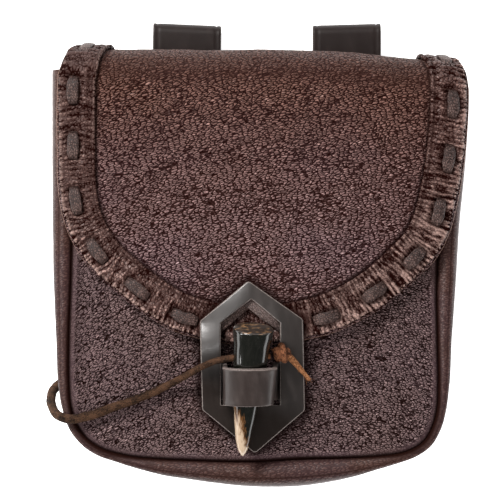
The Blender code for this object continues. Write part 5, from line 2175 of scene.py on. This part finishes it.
@dataclass(frozen=True)
class Plate:
    """Six-sided leather plate with a window, bent down a little all round."""

    corner: float = 2.0
    window_corner: float = 0.5
    apex_shift: float = 0.4
    arc_steps: int = 8
    side_steps: int = 34
    across: int = 22
    turn: int = 5
    edge_reach: float = 0.45
    curl: float = 1.3
    strip: float = 9.5
    blend: float = 0.6
    stiff_y: float = -78.0
    shoulder: float = 2.8
    shoulder_reach: float = 17.0
    # where the painted shade of the plate's lower part starts
    dull_and_shade_y: float = -54.0
    swell: Unevenness = Unevenness(61, 0.16, (9.0, 11.0), 30.0)

    def droop(self, x: Array, y: Array) -> Array:
        """How far the plate bends down towards its outline, most at the left shoulder.

        The distance from the outline is the soft least of the distances from its
        sides, so that the bends blend at the corners.

        Args:
            x: Places across.
            y: Places up.

        Returns:
            Depths below the flat plate.
        """
        inside = side_distances(CLASP.outline, x, y)
        inside = -np.log(np.exp(-self.blend * inside).sum(axis=0)) / self.blend
        depth = self.curl * np.clip(1 - inside / self.strip, 0, 1.2)**1.7
        depth *= 0.30 + 0.70 * ease((y - self.stiff_y) / 30.0)
        corner = CLASP.outline[LEFT_SHOULDER]
        away = np.hypot(x - corner[0], y - corner[1]) / self.shoulder_reach
        return depth + self.shoulder * np.clip(1 - away, 0, 1)**2

    def build(self) -> None:
        """Sweep the plate's section between its outline and its window."""
        x, half = CLASP.keeper_x, CLASP.window_half
        inner = np.array([
            (x + self.apex_shift, CLASP.window_apex_y), (x - half, CLASP.window_shoulder_y),
            (x - half, CLASP.window_foot_y), (x, CLASP.window_foot_y),
            (x + half, CLASP.window_foot_y), (x + half, CLASP.window_shoulder_y)])
        outside = rounded_outline(CLASP.outline, self.corner, self.arc_steps, self.side_steps)
        inside = rounded_outline(inner, self.window_corner, self.arc_steps, self.side_steps)
        gap = np.linalg.norm(inside - outside, axis=1)
        section = rounded_section(1.0, CLASP.wall, 0.0, self.across, self.turn)
        side, level = section[:, 0], section[:, 1]
        reach = self.edge_reach / gap[:, None]
        share = 0.5 + side * (1 - 2 * reach)
        bulge = np.sqrt(np.maximum(1 - (2 * level / CLASP.wall - 1)**2, 0.0))
        share = share + np.sign(side) * reach * bulge * (np.abs(side) >= 0.5)
        plan = outside[:, None] * (1 - share[..., None]) + inside[:, None] * share[..., None]
        x, y = plan[..., 0], plan[..., 1]
        top = ease(level / CLASP.wall)
        swell = self.swell.over(x, y) * top
        lift = level + swell - self.droop(x, y)
        rings = np.stack([x, y, CLASP.under(x, y, 3.0) + lift], -1)
        slots = cut_edges(len(section), self.across, self.turn, len(rings))
        # painted shade: the plate darker and without sheen towards its lower left and point
        dull_and_shade = ease((self.dull_and_shade_y - y - 0.5 * (x - CLASP.centre_x)) / 18.0)
        shape = swept(rings, closed_path=True, slots=slots, marks=(("dull_and_shade", dull_and_shade),))
        shape.build(
            "clasp_plate_leather", [PLATE_FACE, GREY_EDGE], "clasp_plate", "smooth_black_leather")


@dataclass(frozen=True)
class Tie:
    """Short thong that crosses another one in the plate's window."""

    side: str
    row: tuple[float, float, float, float]
    finish: Finish
    rest: float = 3.7
    thick: float = 1.2
    width: float = 5.4
    edge_reach: float = 0.45
    bend: float = 0.9
    dome: float = 0.35
    wobble: Unevenness = Unevenness(71, 0.22, (0.25, 1.0), (9.0, 0.0))
    steps: int = 44
    across: int = 14
    turn: int = 5

    def build(self) -> None:
        """Sweep the thong over the border from one end to the other."""
        x0, y0, x1, y1 = self.row
        drop = CLASP.window_apex_y - CLASP.window_shoulder_y
        half = CLASP.window_half
        start = np.array([CLASP.keeper_x + x0 * half, CLASP.window_apex_y - y0 * drop])
        end = np.array([CLASP.keeper_x + x1 * half, CLASP.window_apex_y - y1 * drop])
        share = np.linspace(0.0, 1.0, self.steps)
        on_top = self.side == "right"
        raised = (self.thick + FORM.gap) * ease(share / 0.5) * on_top
        bend = self.bend * np.sin(share * math.pi) * ease((1 - share) / 0.4)
        plan = start + share[:, None] * (end - start)
        along = unit(end - start)
        section = rounded_section(self.width, self.thick, self.edge_reach, self.across, self.turn)
        side = section[:, 0] + self.wobble.over(share, 0 * share + 5 * on_top)[:, None]
        spot = plan[:, None] + side[..., None] * np.array([-along[1], along[0]])
        dome = self.dome * (1 - (2 * section[:, 0] / self.width)**2) * (section[:, 1] > 0)
        height = FLAP.under(spot[..., 0], spot[..., 1]) + self.rest + section[:, 1] + dome
        height = height + (raised + bend)[:, None]
        run = share * np.linalg.norm(end - start)
        rings = np.concatenate([spot, height[..., None]], -1)
        shape = swept(rings, uv=uv_of(run[:, None], side), marks=(("end", 0 * side),))
        shape.build(f"tie_{self.side}_thong", [self.finish], f"tie_{self.side}", "lace_leather")


@dataclass(frozen=True)
class Keeper:
    """Leather loop over the horn, its feet under the plate."""

    width: float = 24.6
    lower_width: float = 22.8
    breadth: float = 17.0
    lean: float = 2.6
    wall: float = 2.2
    foot: float = 6.0
    arch: float = 0.62
    over_gap: float = 0.7
    edge_reach: float = 0.5
    dip: float = 0.22
    stations: int = 150
    across: int = 20
    turn: int = 6

    def rim(self, sign: float, width: float) -> Array:
        """Outer line of the loop at one rim: foot, upright, arch and down again.

        Args:
            sign: 1 for the upper rim, -1 for the lower one.
            width: Width between the uprights there.

        Returns:
            Points from the left foot to the right one.
        """
        axis, radii = CLASP.horn_axis()
        tilt = math.radians(CLASP.horn_tilt)
        y = CLASP.keeper_y + sign * self.breadth / 2
        over = -(y - self.lean)
        radius = np.interp(over, -axis[:, 1], radii)
        height = np.interp(over, -axis[:, 1], axis[:, 2])
        top = height + radius / math.cos(tilt) + self.over_gap + self.wall
        half = width / 2
        turns = np.linspace(0.0, math.pi, 41)
        bend = half + self.wall / 3
        x = np.array([-half - self.foot, -bend, -half, *(-half * np.cos(turns)), half, bend,
                      half + self.foot])
        centre = (CLASP.keeper_x + np.interp(over, -axis[:, 1], axis[:, 0])) / 2
        rest = FORM.front_surface(centre + x, np.full_like(x, y)) + FORM.gap + self.wall
        spring = top - half * self.arch
        z = rest.copy()
        z[[2, -3]] += self.wall
        z[3:-3] = spring + (top - spring) * np.sin(turns)
        back = self.lean * np.clip((z - rest) / (top - rest), 0, 1)
        line = rounded_corners(np.column_stack([centre + x, y - back, z]), 2)
        return resample(line, self.stations - 1, columns=3)

    def build(self) -> None:
        """Sweep a rounded strap section along the loop."""
        upper, lower = self.rim(1.0, self.width), self.rim(-1.0, self.lower_width)
        middle = (upper + lower) / 2
        across = upper - lower
        normal = unit(np.cross(np.gradient(middle, axis=0), across))
        normal *= np.sign(normal[len(normal) // 2, 2])
        section = rounded_section(self.breadth, self.wall, self.edge_reach, self.across, self.turn)
        side = section[:, 0] / self.breadth
        dip = self.dip * (1 - bell(np.abs(2 * side) - 1.0, 0.20)) * (section[:, 1] > 0)
        level = section[:, 1] - self.wall - dip
        rings = middle[:, None] + side[None, :, None] * across[:, None]
        rings = rings + level[None, :, None] * normal[:, None]
        slots = cut_edges(len(section), self.across, self.turn, len(rings) - 1)
        shape = swept(rings, slots=slots)
        shape.build("keeper_strap", [KEEPER_FACE, KEEPER_EDGE], "keeper_loop", "smooth_black_leather")


@dataclass(frozen=True)
class Horn:
    """Tapered horn peg with a sawn end."""

    around: int = 96
    end_turns: int = 5
    end_round: float = 0.55
    face_steps: tuple[float, ...] = (0.02, 0.3, 0.6, 0.85, 0.93)
    face_dome: float = 0.5
    face_out: float = 0.25
    oval: float = 0.02
    waves: Unevenness = Unevenness(81, 0.012, (0.55, 1 / 7.0), 20.0)

    def build(self) -> None:
        """Sweep rings square to the axis, from the sawn face's middle to the tip."""
        axis, radii = CLASP.horn_axis()
        along = unit(np.gradient(axis, axis=0))
        sideways = unit(np.cross(along, (0.0, 0.0, 1.0)))
        angle = np.linspace(0.0, 2 * math.pi, self.around, endpoint=False)
        share = np.linspace(0.0, 1.0, len(axis))
        size = radii[:, None] * (
            1 + self.waves.over(angle, share[:, None]) + self.oval * np.cos(2 * angle))
        rings = rings_round(axis, size, angle, sideways, np.cross(sideways, along))
        face, marks = [], []
        for step in self.face_steps:
            rise = self.face_dome * (1 - step**2) + self.face_out
            face.append(axis[0] - along[0] * rise + (rings[0] - axis[0]) * step)
            marks.append(1.0)
        for turn in np.linspace(0.0, math.pi / 2, self.end_turns + 1):
            drawn = 1 - self.end_round / radii[0] * (1 - math.sin(turn))
            back = self.end_round * (1 - math.cos(turn)) - self.face_out
            face.append(axis[0] + along[0] * back + (rings[0] - axis[0]) * drawn)
            marks.append(0.0 if turn > 0.9 else 1.0)
        start = int(np.searchsorted(-axis[:, 1], -axis[0, 1] + self.end_round)) + 1
        rings = np.concatenate([np.array(face), rings[start:]])
        cut = np.concatenate([marks, np.zeros(len(share) - start)])
        length = np.concatenate([np.zeros(len(face)), share[start:]])[:, None]
        uv = np.stack(np.broadcast_arrays(length, angle / (2 * math.pi)), -1)
        marks = (("cut", cut[:, None] + 0 * angle), ("left", np.cos(angle) + 0 * length))
        shape = swept(rings, uv=uv, marks=marks)
        shape.build("horn_peg", [HORN_FACE], "horn_toggle", "polished_horn")


@dataclass(frozen=True)
class BeltLoop:
    """Strap folded into a loop behind the pouch, with a groove along each edge."""

    name: str
    centre: float
    lean: float
    slant: float
    width: float = 31.5
    wall: float = 2.2
    belt_gap: float = 4.6
    tab_end_y: float = 6.0
    tab_top_y: float = 24.0
    top_y: float = 105.3
    front_y: float = 58.0
    groove: float = 0.28
    groove_inset: float = 2.3
    groove_width: float = 0.45
    edge_reach: float = 0.5
    stations: int = 260
    across: int = 36
    turn: int = 6

    def path(self) -> Array:
        """The strap's outer line: up the back, over the top and down the front.

        Returns:
            Points (y, z) at even steps.
        """
        height = 2 * self.wall + self.belt_gap
        bend = self.top_y - height / 2
        turn = np.linspace(0.0, math.pi, 33)
        rows = [(self.tab_end_y, 0.0), (self.tab_top_y, 0.0)]
        rows += list(zip(bend + height / 2 * np.sin(turn), height / 2 * (1 - np.cos(turn))))
        rows += [((bend + self.front_y) / 2, height), (self.front_y, height)]
        return resample(np.array(rows), self.stations - 1)

    def build(self) -> None:
        """Sweep the strap's section along its path."""
        path = self.path()
        share = np.clip((path[:, 0] - self.front_y) / (self.top_y - self.front_y), 0, 1)
        inward = -outward(path)
        section = rounded_section(self.width, self.wall, self.edge_reach, self.across, self.turn)
        side, level = section.T
        line = bell(np.abs(side) - self.width / 2 + self.groove_inset, self.groove_width)
        depth = self.wall - level + self.groove * line * (level > self.wall / 2)
        spot = path[:, None] + depth[None, :, None] * inward[:, None]
        x = self.centre + side[None] + self.lean * share[:, None]
        y = spot[..., 0] + side[None] / self.width * self.slant * share[:, None]
        rings = np.stack([x + 0 * y, y, spot[..., 1]], -1)
        slots = cut_edges(len(section), self.across, self.turn, len(rings) - 1)
        shape = swept(rings, slots=slots)
        shape.build(self.name + "_strap", [STRAP_FACE, STRAP_EDGE], self.name, "smooth_black_leather")


def tube(path: Array, radii: Array, around: int, seed: int, rough: float) -> Shape:
    """Round bar along a dense path, uneven like napped leather, with rounded ends.

    Each ring's second axis is carried on from the ring before, so that the rings
    don't twist.

    Args:
        path: Centreline points.
        radii: Radius at each point.
        around: Points in each ring.
        seed: Seed of the unevenness.
        rough: Size of the unevenness, as a share of the radius.

    Returns:
        The shape, its UV map in metres along and round.
    """
    ahead = unit(np.gradient(path, axis=0))
    first = np.zeros_like(ahead)
    axis = np.cross(ahead[0], (0.0, 0.0, 1.0))
    for k, direction in enumerate(ahead):
        axis = unit(axis - direction * (axis @ direction))
        first[k] = axis
    angle = np.linspace(0.0, 2 * math.pi, around, endpoint=False)
    run = run_of(path)[:, None]
    nap = Unevenness(seed, 0.6 * rough, (1 / 1.3, 1.6), 20.0).over(angle, run)
    blots = Unevenness(seed + 1, 0.5 * rough, (1.6, 4.0), 20.0).over(angle, run)
    rings = rings_round(
        path, radii[:, None] * (1 + nap + blots), angle, first, np.cross(ahead, first))
    return swept(rings, uv=uv_of(run, angle * np.mean(radii)))


@dataclass(frozen=True)
class Knot:
    """Wrapped knot at the cord's end, with a frayed tail."""

    centre: Triple = (10.0, -45.1, 63.3)
    core: float = 3.0
    wrap: float = 2.9
    strand: float = 1.75
    turns: float = 2.1
    spread: float = 5.4
    slope: float = 0.45
    tail_radii: Pair = (1.6, 0.9)
    fibres: int = 16
    fibre_reach: Pair = (2.5, 6.0)
    hairs: int = 26
    hair_reach: Pair = (1.2, 3.2)
    hairs_ahead: Triple = (-0.75, 0.45, 0.5)
    fibre_radii: Pair = (0.26, 0.07)
    lowest: float = 54.5

    def dress(self, shape: Shape, part: str, finish: Finish) -> Piece:
        """One of the knot's pieces, from its shape, its part's name and its finish."""
        return shape.build("knot_" + part, [finish], "cord_knot", "suede_cord")

    def build(self) -> list[Piece]:
        """Make the wraps, the core, the tail and the loose fibres.

        Returns:
            The pieces, the wraps first.
        """
        t = np.linspace(0.0, 1.0, 220)
        turn = t * self.turns * 2 * math.pi + 1.0
        radius = self.wrap * np.sin(np.clip(t, 0.03, 0.97) * math.pi)**0.25 * (1.15 - 0.4 * t)
        middle = np.array(self.centre)
        wound = middle + np.column_stack([
            (t - 0.5) * self.spread, radius * np.cos(turn) - (t - 0.5) * self.slope * self.spread,
            radius * np.sin(turn) - 0.4 * t])
        wraps = tube(wound, self.strand * (1.05 - 0.2 * t), 24, 91, 0.20)
        line = np.column_stack([np.linspace(middle[0] - 4.6, middle[0] + 3.6, 60),
                                np.full(60, middle[1]), np.full(60, middle[2])])
        swell = self.core * np.sqrt(np.clip(1 - np.linspace(-1, 1, 60)**2, 0.02, 1))
        core = tube(line, swell, 24, 93, 0.08)
        tail = smooth_curve(TAIL_ROUTE, 80)
        tail_bar = tube(tail, np.linspace(*self.tail_radii, 80), 14, 95, 0.16)
        ahead = unit(tail[-1] - tail[20])
        loose = self.fray(tail[20:70], ahead, self.fibre_reach, self.fibres, 97)
        hairs = self.fray(
            wound[4:70], np.array(self.hairs_ahead), self.hair_reach, self.hairs, 98)
        return [
            self.dress(wraps, "wraps", KNOT_FACE), self.dress(core, "core", KNOT_FACE),
            self.dress(tail_bar, "tail", FRAY_FACE), self.dress(loose, "fray", FRAY_FACE),
            self.dress(hairs, "hairs", KNOT_FACE)]

    def fray(self, line: Array, ahead: Array, reach: Pair, number: int, seed: int) -> Shape:
        """Loose fibres that fan out from a line, as one mesh.

        Args:
            line: Points from which the fibres start.
            ahead: Their main direction.
            reach: Their least and greatest length.
            number: How many fibres.
            seed: Seed of their directions.

        Returns:
            The shape.
        """
        draw = np.random.default_rng(seed)
        points, faces, caps, count = [], [], [], 0
        for _ in range(number):
            start = line[draw.integers(0, len(line))]
            way = ahead * draw.uniform(*reach) + draw.normal(0.0, 0.9, 3)
            bend = draw.normal(0.0, 0.8, 3)
            t = np.linspace(0.0, 1.0, 12)[:, None]
            fibre = start + way * t + bend * t**2
            fibre[:, 2] = np.maximum(fibre[:, 2], self.lowest)
            one = tube(fibre, np.linspace(*self.fibre_radii, 12), 5, 99, 0.1)
            points.append(one.points.reshape(-1, 3))
            faces.append(one.faces + count)
            caps += [tuple(corner + count for corner in cap) for cap in one.caps]
            count += len(points[-1])
        uv = np.concatenate([part[:, :2] for part in points]) * MM
        return Shape(np.vstack(points), np.vstack(faces), tuple(caps), uv=uv)


@dataclass(frozen=True)
class Cord:
    """Suede cord from the back seam, round the side and across the flap to its knot."""

    diameter: float = 3.6
    fat: float = 1.16
    thinner: float = 0.34
    step: float = 0.5

    def build(self) -> None:
        """Make the cord with its knot."""
        dense = smooth_curve(CORD_ROUTE, 2400)
        run = run_of(dense)
        at = np.linspace(0.0, run[-1], int(run[-1] / self.step))
        path = at_lengths(dense, run, at)
        radii = self.diameter / 2 * (self.fat - self.thinner * ease((at / run[-1] - 0.35) / 0.5))
        shape = tube(path, radii, 22, 89, 0.09)
        piece = shape.build("cord_suede", [CORD_FACE], "toggle_cord", "suede_cord")
        knot = Knot().build()
        LOG.info("cord is %.1f mm long", run[-1])


@dataclass(frozen=True)
class SoftLight:
    """Rectangular soft light that faces the pouch. Lengths in metres, power in watts."""

    name: str
    place: Triple
    size: Pair
    power: float
    tone: Colour
    glossy: bool = True

    def build(self, aim: Triple) -> None:
        """Make the light and turn it to a place.

        Args:
            aim: The place that it faces.
        """
        data = bpy.data.lights.new(self.name, "AREA")
        data.shape = "RECTANGLE"
        data.size, data.size_y = self.size
        data.energy = self.power
        data.color = self.tone
        made = bpy.data.objects.new(self.name, data)
        made.location = self.place
        made.visible_glossy = self.glossy
        way = Vector(aim) - Vector(self.place)
        made.rotation_euler = way.to_track_quat("-Z", "Y").to_euler()
        bpy.context.scene.collection.objects.link(made)
        made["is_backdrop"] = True


@dataclass(frozen=True)
class Studio:
    """Pale floor, soft lights and the camera straight above. Lengths in metres."""

    floor_half: float = 1.6
    floor_z: float = -0.0006
    view_x: float = -0.0046
    view_y: float = 0.0010
    distance: float = 1.6
    subject_z: float = 0.030
    frame_width: float = 0.2277
    sensor: float = 36.0
    world: float = 0.10
    lights: tuple[SoftLight, ...] = (
        SoftLight("key", (-0.60, 0.78, 0.92), (0.45, 0.30), 24.0, (1.0, 0.97, 0.95)),
        SoftLight("left_strip", (-0.74, -0.30, 0.87), (0.07, 1.7), 7.0, (1.0, 0.98, 0.97)),
        SoftLight("right_strip", (1.15, 0.10, 0.75), (0.2, 0.8), 1.7, (0.97, 0.98, 1.0)),
        SoftLight("fill", (0.60, -0.70, 1.00), (0.70, 0.50), 10.5, (1.0, 0.98, 0.98), False))

    def camera(self) -> None:
        """Long lens straight above the pouch, with the belt loops up."""
        data = bpy.data.cameras.new("camera")
        data.sensor_width = self.sensor
        data.lens = self.sensor * self.distance / self.frame_width
        data.clip_start, data.clip_end = 0.1, 10.0
        made = bpy.data.objects.new("camera", data)
        made.location = (self.view_x, self.view_y, self.subject_z + self.distance)
        bpy.context.scene.collection.objects.link(made)
        bpy.context.scene.camera = made

    def floor(self) -> None:
        """Pale floor just under the pouch."""
        size = self.floor_half
        mesh = bpy.data.meshes.new("floor")
        corners = [(-size, -size, 0), (size, -size, 0), (size, size, 0), (-size, size, 0)]
        mesh.from_pydata(corners, [], [(0, 1, 2, 3)])
        mesh.materials.append(Backdrop().material())
        made = bpy.data.objects.new("floor", mesh)
        made.location.z = self.floor_z
        bpy.context.scene.collection.objects.link(made)
        made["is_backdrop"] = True

    def build(self) -> None:
        """Set the camera, floor, world and lights."""
        self.camera()
        self.floor()
        world = bpy.data.worlds.new("studio")
        world.use_nodes = True
        sky = world.node_tree.nodes["Background"]
        sky.inputs["Color"].default_value = (1.0, 1.0, 1.0, 1.0)
        sky.inputs["Strength"].default_value = self.world
        bpy.context.scene.world = world
        for light in self.lights:
            light.build((0.0, 0.0, self.subject_z))
        scene = bpy.context.scene
        scene.view_settings.view_transform = "Standard"
        scene.view_settings.look = "None"


def save_sizes() -> None:
    """Log the lowest and highest corners of the solids' and of this object's box."""
    boxes = {"cad": CAD_BOX, "visual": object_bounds()}
    sizes = {name: [list(corner) for corner in box] for name, box in boxes.items()}
    for name, (low, high) in sizes.items():
        LOG.info("%s box %s to %s", name, low, high)


def main() -> None:
    """Build the studio, then the pouch piece by piece."""
    logging.basicConfig(level=logging.INFO, format="%(name)s: %(message)s")
    Studio().build()
    Cord().build()
    Panel(Side.BACK, wall=1.8).build()
    Panel(Side.FRONT, wall=1.8).build()
    Gusset().build()
    Flap().build()
    Border().build()
    Lace(right=False).build()
    Lace(right=True).build()
    Tie("left", TIE_ROWS[0], TIE_FACE).build()
    Tie("right", TIE_ROWS[1], TIE_SMOOTH).build()
    Plate().build()
    Horn().build()
    Keeper().build()
    BeltLoop("belt_loop_left", -34.2, 0.6, -1.4).build()
    BeltLoop("belt_loop_right", 40.1, 0.0, 0.9).build()
    save_sizes()


if __name__ == "__main__":
    main()
